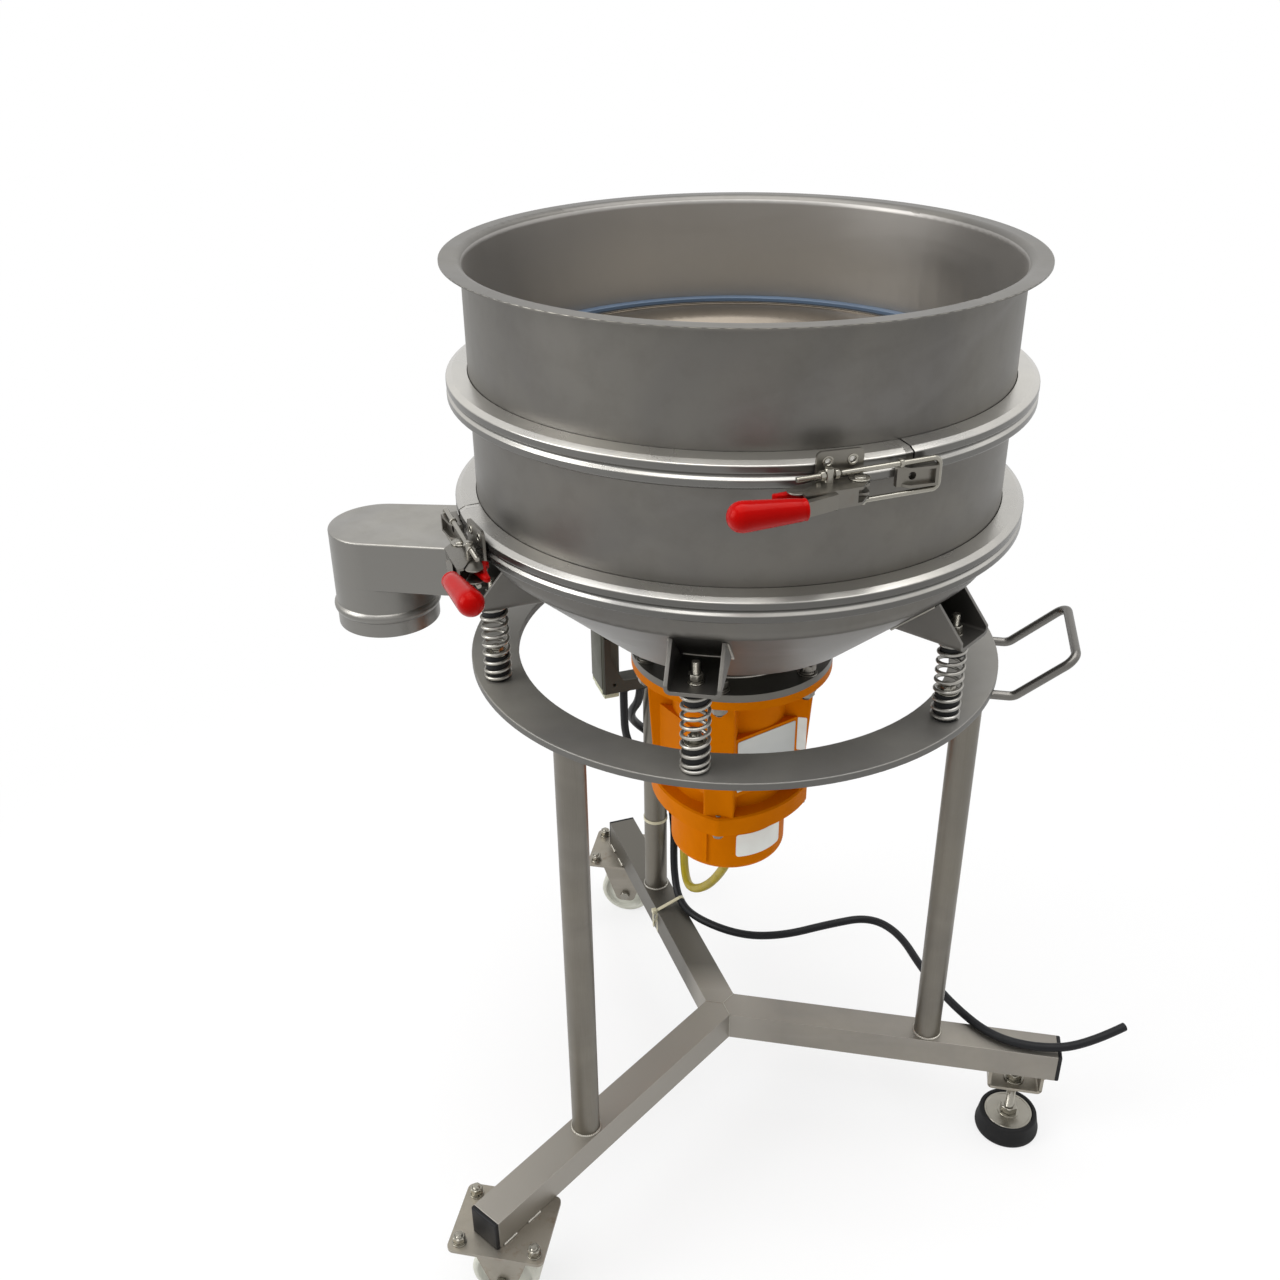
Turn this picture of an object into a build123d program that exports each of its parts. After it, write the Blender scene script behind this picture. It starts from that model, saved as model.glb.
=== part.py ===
from build123d import *
import math
import os

os.makedirs("parts", exist_ok=True)

# All lengths in mm, angles in degrees. The model's axis is the screen body's, the floor is z = 0,
# and azimuths run counter-clockwise from +X seen from above.
FIT = 0.3                 # gap between curved faces on different pieces
PIN_FIT = 0.1             # running gap on pins and axles

# Stand
TUBE = 40.0               # square tube of the base
TUBE_WALL = 2.0
BASE_BOTTOM = 111.0       # underside of the base tubes
ARM_AZ = -6.9             # the arm with the levelling foot
ARM_L = 433.0
CAP_T = 5.0
CAP_PLUG = 12.0
LEG_R = 16.5
LEG_WALL = 2.0
LEG_PCD_R = 268.3
WELD = 2.0
RING_TOP = 712.0          # top of the ring plate that carries the springs
RING_T = 8.0
RING_OUT = 294.5
RING_IN = 241.8

# Screen body
BODY_R = 275.0            # outside radius of the sheet walls
SHEET = 2.0
BEND = 1.5                # outer bend radius at the joint flanges
LIP_R = 291.0             # joint flanges, held inside the clamp bands
JOINT_GAP = 0.3           # between two flanges
TOP_Z = 1145.0
TOP_FLANGE_R = 295.5
TOP_BEND = 7.0
JOINT1_Z = 1021.0         # upper joint, in the middle of the upper band
JOINT2_Z = 894.0          # lower joint
SEAM_Z = 856.0            # where the straight wall meets the cone
KNUCKLE_R = 15.0
PAN_BASE_R = 153.0        # the cone's lower edge
PAN_BASE_Z = 747.5
PAN_BEND = 4.0

# Screen
SCREEN_RING_R = BODY_R - SHEET - 0.5
SCREEN_RING_T = 5.0
SEAL_IN = SCREEN_RING_R - 10.5
SEAL_T = 4.0
SEAT_IN = SEAL_IN - 4.0    # ledge on the deck under the screen
SCREEN_STEP_R = SEAT_IN - 8.0
SCREEN_STEP = 2.0
DISH_T = 1.5              # spun dish between the ring and the wire cloth
DISH_CORNER_R = SCREEN_STEP_R - 27.0
DISH_BEND = 60.0
DISH_SLOPE = 28.0
MESH_R = SCREEN_STEP_R - 64.0
MESH_LAP = 4.0
MESH_T = 0.8

# Clamp bands
BAND_H = 28.6
BAND_R = 297.5
BAND_T = 1.6
BAND_SPLIT = 1.7          # degrees
UPPER_SPLITS = [-60.5]
LOWER_SPLITS = [-159.5, 20.5]

# Duct and spigot
DUCT_AZ = 177.4
DUCT_END_R = 399.0        # from the screen's axis to the centre of the rounded end
DUCT_W = 116.0
DUCT_W_ROOT = 132.0
DUCT_ROOT_R = 160.0
DUCT_TOP = 835.0
DUCT_BOTTOM = 777.0
DUCT_EDGE_R = 2.5
SPIGOT_R = 58.0
SPIGOT_END = 719.0
SPIGOT_BEAD_Z = 742.0
SPIGOT_BEAD_R = 3.0

# Motor
ADAPTER_R = 115.0
ADAPTER_TOP = 701.0
ADAPTER_T = 9.0
PEDESTAL_R = 77.0
MOTOR_FLANGE_T = 10.0
MOTOR_BARREL_R = 68.0
MOTOR_RIB_W = 35.0
MOTOR_RIB_TOP_R = 97.0
MOTOR_RIB_LOW_R = 88.0
MOTOR_FLARE = 14.0
MOTOR_PANEL_R = 79.0      # flat panels between the ribs
MOTOR_PANEL_LOW = 545.0
MOTOR_PANEL_TOP = 640.0
MOTOR_AZ = -97.0
COLLAR_TOP = 522.0
COLLAR_SPLIT = 509.0
COLLAR_BOTTOM = 498.0
COLLAR_CORNER_R = 95.0
COLLAR_SIDE_R = 85.0
COLLAR_FILLET = 12.0
COVER_R = 69.0
COVER_BOTTOM = 428.0
COVER_EDGE_R = 12.0
COVER_RIB_AZ = -112.0
COVER_RIB_OUT = 2.5

# Springs
SPRINGS = 6
SPRING_AZ = -36.8
SPRING_PCD_R = 272.0
SPRING_R = 16.5
SPRING_WIRE = 3.6
SPRING_COILS = 9.5
BRACKET_Z = 804.0         # underside of the bracket's base
BRACKET_T = 4.0
BRACKET_W = 54.0
BRACKET_OUT = 294.0
BRACKET_BEND = 7.0
BRACKET_NOSE = 10.0       # upright height at the outer edge
BRACKET_PEAK_R = 263.0    # highest point of the cheeks
BRACKET_PEAK = 47.0
BRACKET_ROOT = 195.0
STUD_R = 4.0
STUD_OVER = 22.0          # stud above the bracket's base
BUFFER_R = 12.4
LOW_BUFFER_H = 30.0
HIGH_BUFFER_H = 18.0
NUT_AF = 13.0
NUT_H = 6.5
WASHER_R = 8.5
WASHER_T = 1.5

# Castors
CASTER_PCD_R = ARM_L - 26.0
PLATE_L = 113.0
PLATE_W = 92.0
PLATE_T = 4.0
PLATE_CORNER = 8.0
WHEEL_R = 40.0
WHEEL_W = 32.0
AXLE_R = 4.0
FORK_T = 3.0
FORK_GAP = 5.5            # between the wheel and the fork's cheeks
FORK_L = 80.0
FORK_LOW_L = 26.0

# Levelling foot
FOOT_PCD_R = ARM_L - 47.0
FOOT_R = 41.0
FOOT_TOP_R = 37.0
FOOT_STUD_R = 6.0
FOOT_DISC_R = 27.5
FOOT_DISC_T = 2.0
FOOT_H = 27.0
FOOT_NUT_AF = 18.0
FOOT_NUT_H = 9.5
FOOT_BRACKET_L = 69.0
FOOT_BRACKET_W = 40.0
FOOT_BRACKET_T = 4.0
FOOT_BRACKET_DROP = 28.0

# Push handle
HANDLE_R = 5.0
HANDLE_HALF = 60.6
HANDLE_BEND = 309.0
HANDLE_END = 367.0
HANDLE_RISE = 51.0
HANDLE_ROOT = 18.0        # length welded under the ring plate
HANDLE_BEND_R = 14.0

# Toggle clamps: a local frame at the main pin, x along the band towards the catch,
# y outwards from the band, z up
CLAMP_AHEAD = 10.5        # degrees from the band's split to the main pin
CLAMP_DROP = 8.0          # main pin's height under the joint
CLAMP_OPEN = 90.0
CLAMP_PLATE_T = 3.0
CLAMP_PIN_R = 3.0
CLAMP_PIN_OUT = 14.0
CLAMP_EAR_T = 2.5
CLAMP_EAR_Z = 5.5         # inner faces of the handle's two plates
CLAMP_TRUNNION = -27.0
CLAMP_TRUNNION_R = 4.0
CLAMP_ROD_Z = 14.0        # half spacing of the two rods
CLAMP_ROD_R = 2.5
CLAMP_ROD_TAIL = 30.0
CLAMP_HOOK = 78.0         # closed end of the rods
CLAMP_HOOK_OUT = 2.0
CLAMP_HOOK_BEND = 6.0
CATCH_L = 36.0
CATCH_OUT = CLAMP_HOOK_OUT + 6.0
CATCH_HALF = 9.0
GRIP_ROOT = -58.0
GRIP_L = 67.0
GRIP_ROOT_R = 9.2
GRIP_END_R = 14.0
GRIP_OUT = 31.5           # from the main pin's axis out to the grip's
TANG_T = 5.0
TANG_H = 13.0

# Switch box on the rear leg, and the cords
BOX_LEFT = 82.0           # from the leg's axis to the far side
BOX_W = 24.0
BOX_D = 52.0
BOX_Z = 512.0
BOX_H = 92.0
BOX_CORNER = 4.0
BOX_FOOT_T = 8.0
BOX_FOOT_D = 44.0
BOX_PLATE_T = 3.0
BOX_PLATE_AT = -29.0      # the mounting plate's face, towards the screen's axis
BOX_LUG_TOP = 18.0
BOX_LUG_END = 10.0
BOX_ENTRY_D = 24.0         # block behind the lug that both cords enter from below
BOX_ENTRY_IN = 18.0
CORD_IN_Y = -15.0          # the cords' ends, seen from the leg's axis
SUPPLY_IN_X = -50.0
MOTOR_IN_X = -26.0
SUPPLY_R = 5.5
MOTOR_CORD_R = 6.0


def polar(radius, azimuth, z=0.0):
    a = math.radians(azimuth)
    return Vector(radius * math.cos(a), radius * math.sin(a), z)


def turned(shape, azimuth):
    return shape.rotate(Axis.Z, azimuth)


def arm_azimuths():
    return [ARM_AZ, ARM_AZ - 120.0, ARM_AZ + 120.0]


def on_arm(shape, radius, azimuth):
    return turned(Pos(radius, 0, 0) * shape, azimuth)


def largest(shape):
    return max(shape.solids(), key=lambda s: s.volume)


def revolved(points):
    """A solid of revolution about Z from a closed outline of (r, z) points."""
    return revolve(Plane.XZ * make_face(Polyline(*points, close=True)), Axis.Z)


def ring(r_out, r_in, z0, z1):
    return revolved([(r_in, z0), (r_out, z0), (r_out, z1), (r_in, z1)])


def sheet_wall(points, bends):
    """A bent sheet of revolution from its outer skin, thickened towards the left of the path."""
    skin = FilletPolyline(*points, radius=bends)
    outline = offset(skin, amount=SHEET, side=Side.LEFT, closed=True)
    return revolve(Plane.XZ * make_face(outline), Axis.Z)


def rod(p0, p1, radius):
    p0, p1 = Vector(p0), Vector(p1)
    plane = Plane(origin=p0, z_dir=(p1 - p0).normalized())
    return plane * Solid.make_cylinder(radius, (p1 - p0).length)


def block(x0, x1, y0, y1, z0, z1):
    return Pos((x0 + x1) / 2, (y0 + y1) / 2, (z0 + z1) / 2) * Box(x1 - x0, y1 - y0, z1 - z0)


def plate(points, z0, thickness, corner=0.0):
    """A flat plate from its outline in plan."""
    face = make_face(Polyline(*points, close=True))
    if corner:
        face = fillet(face.vertices(), corner)
    return Pos(0, 0, z0) * extrude(face, thickness)


def hexagon(across_flats, height, z0):
    nut = extrude(RegularPolygon(across_flats / 2, 6, major_radius=False), height)
    return Pos(0, 0, z0) * chamfer(nut.edges().group_by(Axis.Z)[-1], 0.8)


def washer_and_nut(z0):
    return ring(WASHER_R, STUD_R - 0.5, z0, z0 + WASHER_T) + hexagon(NUT_AF, NUT_H, z0 + WASHER_T)


# Screen body

def upper_hopper():
    z0 = JOINT1_Z + JOINT_GAP / 2 + SHEET
    z1 = TOP_Z - SHEET
    return sheet_wall(
        [(LIP_R, z0), (BODY_R, z0), (BODY_R, z1), (TOP_FLANGE_R, z1)], [BEND, TOP_BEND])


def mid_deck():
    z0 = JOINT2_Z + JOINT_GAP / 2 + SHEET
    z1 = JOINT1_Z - JOINT_GAP / 2 - SHEET
    wall = sheet_wall([(LIP_R, z0), (BODY_R, z0), (BODY_R, z1), (LIP_R, z1)], [BEND, BEND])
    return wall + ring(BODY_R - SHEET / 2, SEAT_IN, z1, z1 + SHEET)


def bottom_pan():
    z1 = JOINT2_Z - JOINT_GAP / 2 - SHEET
    wall = sheet_wall(
        [(0, PAN_BASE_Z), (PAN_BASE_R, PAN_BASE_Z), (BODY_R, SEAM_Z), (BODY_R, z1), (LIP_R, z1)],
        [PAN_BEND, KNUCKLE_R, BEND])
    return wall - duct_block(-SHEET)


def pan_space(gap):
    """What the pan takes up, grown by a gap along the cone's normal."""
    run, rise = BODY_R - PAN_BASE_R, SEAM_Z - PAN_BASE_Z
    grow = gap * math.hypot(run, rise) / rise
    low = PAN_BASE_Z - gap
    return revolved([
        (0, low), (PAN_BASE_R + grow - gap * run / rise, low),
        (BODY_R + grow, SEAM_Z), (BODY_R + grow, JOINT2_Z), (0, JOINT2_Z)])


def dish_low():
    """Height of the dish's inner edge under the ring's face."""
    return (DISH_CORNER_R - MESH_R) * math.tan(math.radians(DISH_SLOPE))


def screen_ring():
    """Flat ring with a raised step, and a spun dish that slopes down to the wire cloth."""
    z0 = JOINT1_Z - JOINT_GAP / 2
    z1 = z0 + SCREEN_RING_T
    ledge = SEAT_IN - FIT
    flat = revolved([
        (SCREEN_STEP_R, z0 + 1.0), (ledge, z0 + 1.0), (ledge, z0), (SCREEN_RING_R, z0), (SCREEN_RING_R, z1),
        (SCREEN_STEP_R + SCREEN_STEP, z1), (SCREEN_STEP_R, z1 + SCREEN_STEP)])
    skin = FilletPolyline(
        (SCREEN_STEP_R + 1.0, z1), (DISH_CORNER_R, z1), (MESH_R, z1 - dish_low()), radius=DISH_BEND)
    dish = make_face(offset(skin, amount=DISH_T, side=Side.LEFT, closed=True))
    return flat + revolve(Plane.XZ * dish, Axis.Z)


def screen_seal():
    z0 = JOINT1_Z - JOINT_GAP / 2 + SCREEN_RING_T
    seal = ring(SCREEN_RING_R, SEAL_IN, z0, z0 + SEAL_T)
    return fillet(seal.edges().filter_by(GeomType.CIRCLE).group_by(Axis.Z)[-1], 1.2)


def screen_mesh():
    """Wire cloth under the dish's inner edge."""
    z1 = JOINT1_Z - JOINT_GAP / 2 + SCREEN_RING_T - dish_low() - DISH_T
    return Pos(0, 0, z1 - MESH_T / 2) * Cylinder(MESH_R + MESH_LAP, MESH_T)


def band_profile():
    """Rolled channel with two outer beads, open towards the flanges, its top at z = 0."""
    r0 = BODY_R + 2 * FIT
    half = BAND_H / 2
    skin = FilletPolyline(
        (r0, 0.0), (BAND_R - 6.0, -1.2), (BAND_R, -4.6), (BAND_R, -half + 3.4), (BAND_R - 3.0, -half),
        (BAND_R, -half - 3.4), (BAND_R, -BAND_H + 4.6), (BAND_R - 6.0, -BAND_H + 1.2), (r0, -BAND_H),
        radius=1.8)
    return make_face(offset(skin, amount=BAND_T, side=Side.RIGHT, closed=True))


def clamp_band(z_top, splits):
    arc = 360.0 / len(splits) - BAND_SPLIT
    profile = Pos(0, 0, z_top) * (Plane.XZ * band_profile())
    part = revolve(profile, Axis.Z, revolution_arc=arc)
    return Compound(children=[turned(part, a + BAND_SPLIT / 2) for a in splits])


# Duct

def duct_block(inset):
    """The duct's outer form, reaching inside the pan; a negative inset gives the bore."""
    half = DUCT_W / 2 + inset
    root = DUCT_W_ROOT / 2 + inset
    outline = Polyline((DUCT_END_R, -half), (DUCT_ROOT_R, -root), (DUCT_ROOT_R, root), (DUCT_END_R, half))
    outline += ThreePointArc((DUCT_END_R, half), (DUCT_END_R + half, 0), (DUCT_END_R, -half))
    body = extrude(make_face(outline), DUCT_TOP - DUCT_BOTTOM + 2 * inset)
    rims = body.edges().group_by(Axis.Z)
    body = fillet(rims[0] + rims[-1], max(DUCT_EDGE_R + inset, 0.4))
    return turned(Pos(0, 0, DUCT_BOTTOM - inset) * body, DUCT_AZ)


def discharge_duct():
    shell = duct_block(0.0) - duct_block(-SHEET) - pan_space(0.0)
    return largest(shell - on_arm(Pos(0, 0, DUCT_BOTTOM) * Cylinder(SPIGOT_R - SHEET, 20), DUCT_END_R, DUCT_AZ))


def outlet_spigot():
    r0, r1 = SPIGOT_R - SHEET, SPIGOT_R
    b = SPIGOT_BEAD_R
    z = SPIGOT_BEAD_Z
    outline = Polyline(
        (r1, z + 2 * b), (r1, DUCT_BOTTOM), (r0, DUCT_BOTTOM), (r0, SPIGOT_END), (r1, SPIGOT_END), (r1, z - 2 * b))
    outline += ThreePointArc((r1, z - 2 * b), (r1 + b, z), (r1, z + 2 * b))
    return on_arm(revolve(Plane.XZ * make_face(outline), Axis.Z), DUCT_END_R, DUCT_AZ)


# Motor

def adapter_plate():
    disc = ring(ADAPTER_R, 0.0, ADAPTER_TOP - ADAPTER_T, ADAPTER_TOP)
    return disc + ring(PEDESTAL_R, 0.0, ADAPTER_TOP, PAN_BASE_Z)


def motor_rib():
    z1 = ADAPTER_TOP - ADAPTER_T - MOTOR_FLANGE_T
    side = make_face(Polyline(
        (0, COLLAR_TOP - 1), (MOTOR_RIB_LOW_R, COLLAR_TOP - 1), (MOTOR_RIB_LOW_R, COLLAR_TOP + 6),
        (MOTOR_RIB_TOP_R, z1 - MOTOR_FLARE), (MOTOR_RIB_TOP_R + MOTOR_FLARE / 2, z1), (0, z1), close=True))
    rib = extrude(Plane.XZ * side, MOTOR_RIB_W / 2, both=True)
    upright = rib.edges().filter_by(lambda e: abs(e.tangent_at(0.5).Z) > 0.9 and e.center().X > 50)
    return fillet(upright, 2.5)


def collar_outline():
    corners = [polar(COLLAR_CORNER_R, 90.0 * k) for k in range(5)]
    sides = [polar(COLLAR_SIDE_R, 90.0 * k + 45.0) for k in range(4)]
    outline = [ThreePointArc(corners[k], sides[k], corners[k + 1]) for k in range(4)]
    face = make_face(outline)
    return fillet(face.vertices(), COLLAR_FILLET)


def motor_body():
    z1 = ADAPTER_TOP - ADAPTER_T
    z0 = z1 - MOTOR_FLANGE_T
    body = ring(ADAPTER_R, 0.0, z0, z1) + ring(MOTOR_BARREL_R, 0.0, COLLAR_TOP - 1, z0 + 1)
    reach = MOTOR_PANEL_R - MOTOR_RIB_W / 2 * math.sqrt(0.5)
    for k in range(4):
        body += turned(motor_rib(), 90.0 * k)
        panel = block(0, MOTOR_PANEL_R, -reach / 2, reach / 2, MOTOR_PANEL_LOW, MOTOR_PANEL_TOP)
        body += turned(panel, 90.0 * k + 45.0)
    collar = Pos(0, 0, COLLAR_SPLIT) * extrude(collar_outline(), COLLAR_TOP - COLLAR_SPLIT)
    body += chamfer(collar.edges().group_by(Axis.Z)[-1], 2.0)
    return turned(body, MOTOR_AZ)


def motor_cover():
    flange = Pos(0, 0, COLLAR_BOTTOM) * extrude(collar_outline(), COLLAR_SPLIT - COLLAR_BOTTOM)
    bell = Pos(0, 0, (COLLAR_SPLIT + COVER_BOTTOM) / 2) * Cylinder(COVER_R, COLLAR_SPLIT - COVER_BOTTOM)
    bell = fillet(bell.edges().group_by(Axis.Z)[0], COVER_EDGE_R)
    rib = block(0, COVER_R + COVER_RIB_OUT, -3, 3, COVER_BOTTOM + COVER_EDGE_R, COLLAR_BOTTOM)
    return turned(flange, MOTOR_AZ) + bell + turned(rib, COVER_RIB_AZ)


# Springs

def at_springs(shape):
    return [on_arm(shape, SPRING_PCD_R, SPRING_AZ + 360.0 / SPRINGS * k) for k in range(SPRINGS)]


def coil_springs():
    seat = SPRING_WIRE / 2 + 0.1
    height = BRACKET_Z - RING_TOP - 2 * seat
    path = Helix(height / SPRING_COILS, height, SPRING_R - SPRING_WIRE / 2)
    section = Plane(origin=path @ 0, z_dir=path % 0) * Circle(SPRING_WIRE / 2)
    return Compound(children=at_springs(Pos(0, 0, RING_TOP + seat) * sweep(section, path)))


def spring_bracket():
    """A folded channel, cut to the cheeks' side view and to the cone it is welded to."""
    half = BRACKET_W / 2
    top = BRACKET_Z + BRACKET_PEAK
    fold = FilletPolyline((-half, top), (-half, BRACKET_Z), (half, BRACKET_Z), (half, top), radius=BRACKET_BEND)
    section = make_face(offset(fold, amount=BRACKET_T, side=Side.LEFT, closed=True))
    channel = Pos(BRACKET_ROOT, 0, 0) * extrude(Plane.YZ * section, BRACKET_OUT - BRACKET_ROOT)
    side = make_face(Polyline(
        (BRACKET_ROOT, BRACKET_Z), (BRACKET_OUT, BRACKET_Z), (BRACKET_OUT, BRACKET_Z + BRACKET_NOSE),
        (BRACKET_PEAK_R, top), (BRACKET_ROOT, top), close=True))
    cheeks = extrude(Plane.XZ * side, BRACKET_W, both=True)
    body = (channel & cheeks) - pan_space(FIT)
    return largest(body) - Pos(SPRING_PCD_R, 0, BRACKET_Z) * Cylinder(STUD_R + PIN_FIT, 20)


def spring_brackets():
    bracket = Pos(-SPRING_PCD_R, 0, 0) * spring_bracket()
    return Compound(children=at_springs(bracket))


def spring_buffers():
    low = ring(BUFFER_R, STUD_R + PIN_FIT, RING_TOP, RING_TOP + LOW_BUFFER_H)
    high = ring(BUFFER_R, STUD_R + PIN_FIT, BRACKET_Z - HIGH_BUFFER_H, BRACKET_Z)
    return Compound(children=at_springs(low) + at_springs(high))


def spring_studs():
    top = BRACKET_Z + BRACKET_T
    high = rod((0, 0, BRACKET_Z - HIGH_BUFFER_H), (0, 0, top + STUD_OVER), STUD_R) + washer_and_nut(top)
    nut_z = RING_TOP + LOW_BUFFER_H
    low = rod((0, 0, RING_TOP), (0, 0, nut_z + WASHER_T + NUT_H + 2.0), STUD_R) + washer_and_nut(nut_z)
    return Compound(children=at_springs(high) + at_springs(low))


# Stand

def base_frame():
    z0, z1 = BASE_BOTTOM, BASE_BOTTOM + TUBE
    half, w = TUBE / 2, TUBE_WALL
    arms = [turned(block(0, ARM_L, -half, half, z0, z1), a) for a in arm_azimuths()]
    hollow = block(TUBE, ARM_L + 1, -half + w, half - w, z0 + w, z1 - w)
    return (arms[0] + arms[1] + arms[2]) - [turned(hollow, a) for a in arm_azimuths()]


def end_caps():
    z0, z1 = BASE_BOTTOM, BASE_BOTTOM + TUBE
    half, w = TUBE / 2, TUBE_WALL + FIT
    cap = block(ARM_L, ARM_L + CAP_T, -half, half, z0, z1)
    cap = fillet(cap.edges().group_by(Axis.X)[-1], 2.0)
    plug = block(ARM_L - CAP_PLUG, ARM_L, -half + w, half - w, z0 + w, z1 - w)
    return Compound(children=[turned(cap + plug, a) for a in arm_azimuths()])


def legs():
    z0, z1 = BASE_BOTTOM + TUBE, RING_TOP - RING_T
    leg = ring(LEG_R, LEG_R - LEG_WALL, z0, z1)
    bead = revolved([(LEG_R - 0.5, z0), (LEG_R + WELD, z0), (LEG_R - 0.5, z0 + WELD)])
    return Compound(children=[on_arm(leg + bead, LEG_PCD_R, a) for a in arm_azimuths()])


def ring_plate():
    body = ring(RING_OUT, RING_IN, RING_TOP - RING_T, RING_TOP)
    return chamfer(body.edges().filter_by(GeomType.CIRCLE).group_by(Axis.Z)[-1], 0.8)


def push_handle():
    z0 = RING_TOP - RING_T - HANDLE_R
    z1 = z0 + HANDLE_RISE
    half, root = HANDLE_HALF, RING_OUT - HANDLE_ROOT
    path = FilletPolyline(
        (root, half, z0), (HANDLE_BEND, half, z0), (HANDLE_END, half, z1),
        (HANDLE_END, -half, z1), (HANDLE_BEND, -half, z0), (root, -half, z0), radius=HANDLE_BEND_R)
    section = Plane(origin=path @ 0, z_dir=path % 0) * Circle(HANDLE_R)
    return turned(sweep(section, path), ARM_AZ)


# Castors: both stand parallel to the foot's arm

def caster_centres():
    return [polar(CASTER_PCD_R, a) for a in arm_azimuths()[1:]]


def at_caster(shape, centre):
    return Pos(centre.X, centre.Y, 0) * turned(shape, ARM_AZ)


def caster_fork(centre):
    top = BASE_BOTTOM - PLATE_T
    inner = WHEEL_W / 2 + FORK_GAP
    body = Pos(0, 0, top) * extrude(RectangleRounded(PLATE_L, PLATE_W, PLATE_CORNER), PLATE_T)
    body += block(-FORK_L / 2, FORK_L / 2, -inner - FORK_T, inner + FORK_T, top - FORK_T, top)
    side = make_face(Polyline(
        (-FORK_L / 2, top), (FORK_L / 2, top), (FORK_LOW_L / 2, WHEEL_R - 12), (-FORK_LOW_L / 2, WHEEL_R - 12), close=True))
    side = fillet(side.vertices().group_by(Axis.Y)[0], 10.0)
    cheek = extrude(Plane.XZ * side, FORK_T)
    body += Pos(0, -inner, 0) * cheek + Pos(0, inner + FORK_T, 0) * cheek
    body -= rod((0, -60, WHEEL_R), (0, 60, WHEEL_R), AXLE_R + PIN_FIT)
    return at_caster(body, centre)


def caster_wheel(centre):
    half = WHEEL_W / 2
    hub, web, rim = 13.0, WHEEL_W / 2 - 6.0, WHEEL_R - 7.0
    outline = make_face(Polyline(
        (AXLE_R + PIN_FIT, -half), (hub, -half), (hub + 2, -web), (rim - 2, -web), (rim, -half), (WHEEL_R - 3, -half),
        (WHEEL_R, -half + 3), (WHEEL_R, half - 3), (WHEEL_R - 3, half), (rim, half), (rim - 2, web),
        (hub + 2, web), (hub, half), (AXLE_R + PIN_FIT, half), close=True))
    wheel = revolve(Plane.XZ * outline, Axis.Z)
    return at_caster(Pos(0, 0, WHEEL_R) * wheel.rotate(Axis.X, 90), centre)


def caster_axle(centre):
    half = WHEEL_W / 2 + FORK_GAP + FORK_T
    pin = rod((0, -half - 6, 0), (0, half + 6, 0), AXLE_R)
    nut = hexagon(NUT_AF, NUT_H, half + 0.2).rotate(Axis.X, 90)
    pin += nut + nut.mirror(Plane.XZ)
    return at_caster(Pos(0, 0, WHEEL_R) * pin, centre)


# Levelling foot

def foot_bracket():
    half = FOOT_BRACKET_L / 2
    z0, z1 = BASE_BOTTOM - FOOT_BRACKET_DROP, BASE_BOTTOM
    fold = FilletPolyline((-half, z1), (-half, z0), (half, z0), (half, z1), radius=7.0)
    section = make_face(offset(fold, amount=FOOT_BRACKET_T, side=Side.LEFT, closed=True))
    body = extrude(Plane.XZ * section, FOOT_BRACKET_W / 2, both=True)
    return on_arm(body - Pos(0, 0, z0) * Cylinder(FOOT_STUD_R + PIN_FIT, 20), FOOT_PCD_R, ARM_AZ)


def foot_stud():
    base = BASE_BOTTOM - FOOT_BRACKET_DROP + FOOT_BRACKET_T
    body = rod((0, 0, FOOT_H), (0, 0, BASE_BOTTOM - 2.0), FOOT_STUD_R)
    body += hexagon(FOOT_NUT_AF, FOOT_NUT_H, base + WASHER_T) + ring(13.0, FOOT_STUD_R - 0.5, base, base + WASHER_T)
    body += hexagon(FOOT_NUT_AF, FOOT_NUT_H, FOOT_H)
    return on_arm(body, FOOT_PCD_R, ARM_AZ)


def foot_pad():
    seat = FOOT_H - FOOT_DISC_T
    body = revolved([
        (0, 0), (FOOT_R - 2, 0), (FOOT_R, 3), (FOOT_R, 7), (FOOT_TOP_R, FOOT_H - 1),
        (FOOT_TOP_R - 3, FOOT_H + 1.5), (FOOT_DISC_R + 1.5, FOOT_H + 1.5), (FOOT_DISC_R + FIT, seat), (0, seat)])
    return on_arm(body, FOOT_PCD_R, ARM_AZ)


def foot_disc():
    return on_arm(ring(FOOT_DISC_R, 0, FOOT_H - FOOT_DISC_T, FOOT_H), FOOT_PCD_R, ARM_AZ)


# Toggle clamps

def clamp_places():
    """Name, azimuth of the main pin, height, and the side the catch lies on."""
    upper, lower = JOINT1_Z - CLAMP_DROP, JOINT2_Z - CLAMP_DROP
    return [
        ("upper", UPPER_SPLITS[0] - CLAMP_AHEAD, upper, 1),
        ("lower", LOWER_SPLITS[0] + CLAMP_AHEAD, lower, -1),
        ("rear", LOWER_SPLITS[1] + CLAMP_AHEAD, lower, -1),
    ]


def clamp_placed(shape, azimuth, z, side):
    if side > 0:
        shape = shape.mirror(Plane.YZ)
    plane = Plane(origin=polar(BAND_R + FIT, azimuth, z), x_dir=polar(1, azimuth - 90), z_dir=(0, 0, 1))
    return plane * shape


def clamp_pin_hole(x, radius):
    return Pos(x, CLAMP_PIN_OUT, 0) * Cylinder(radius, 60)


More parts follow.
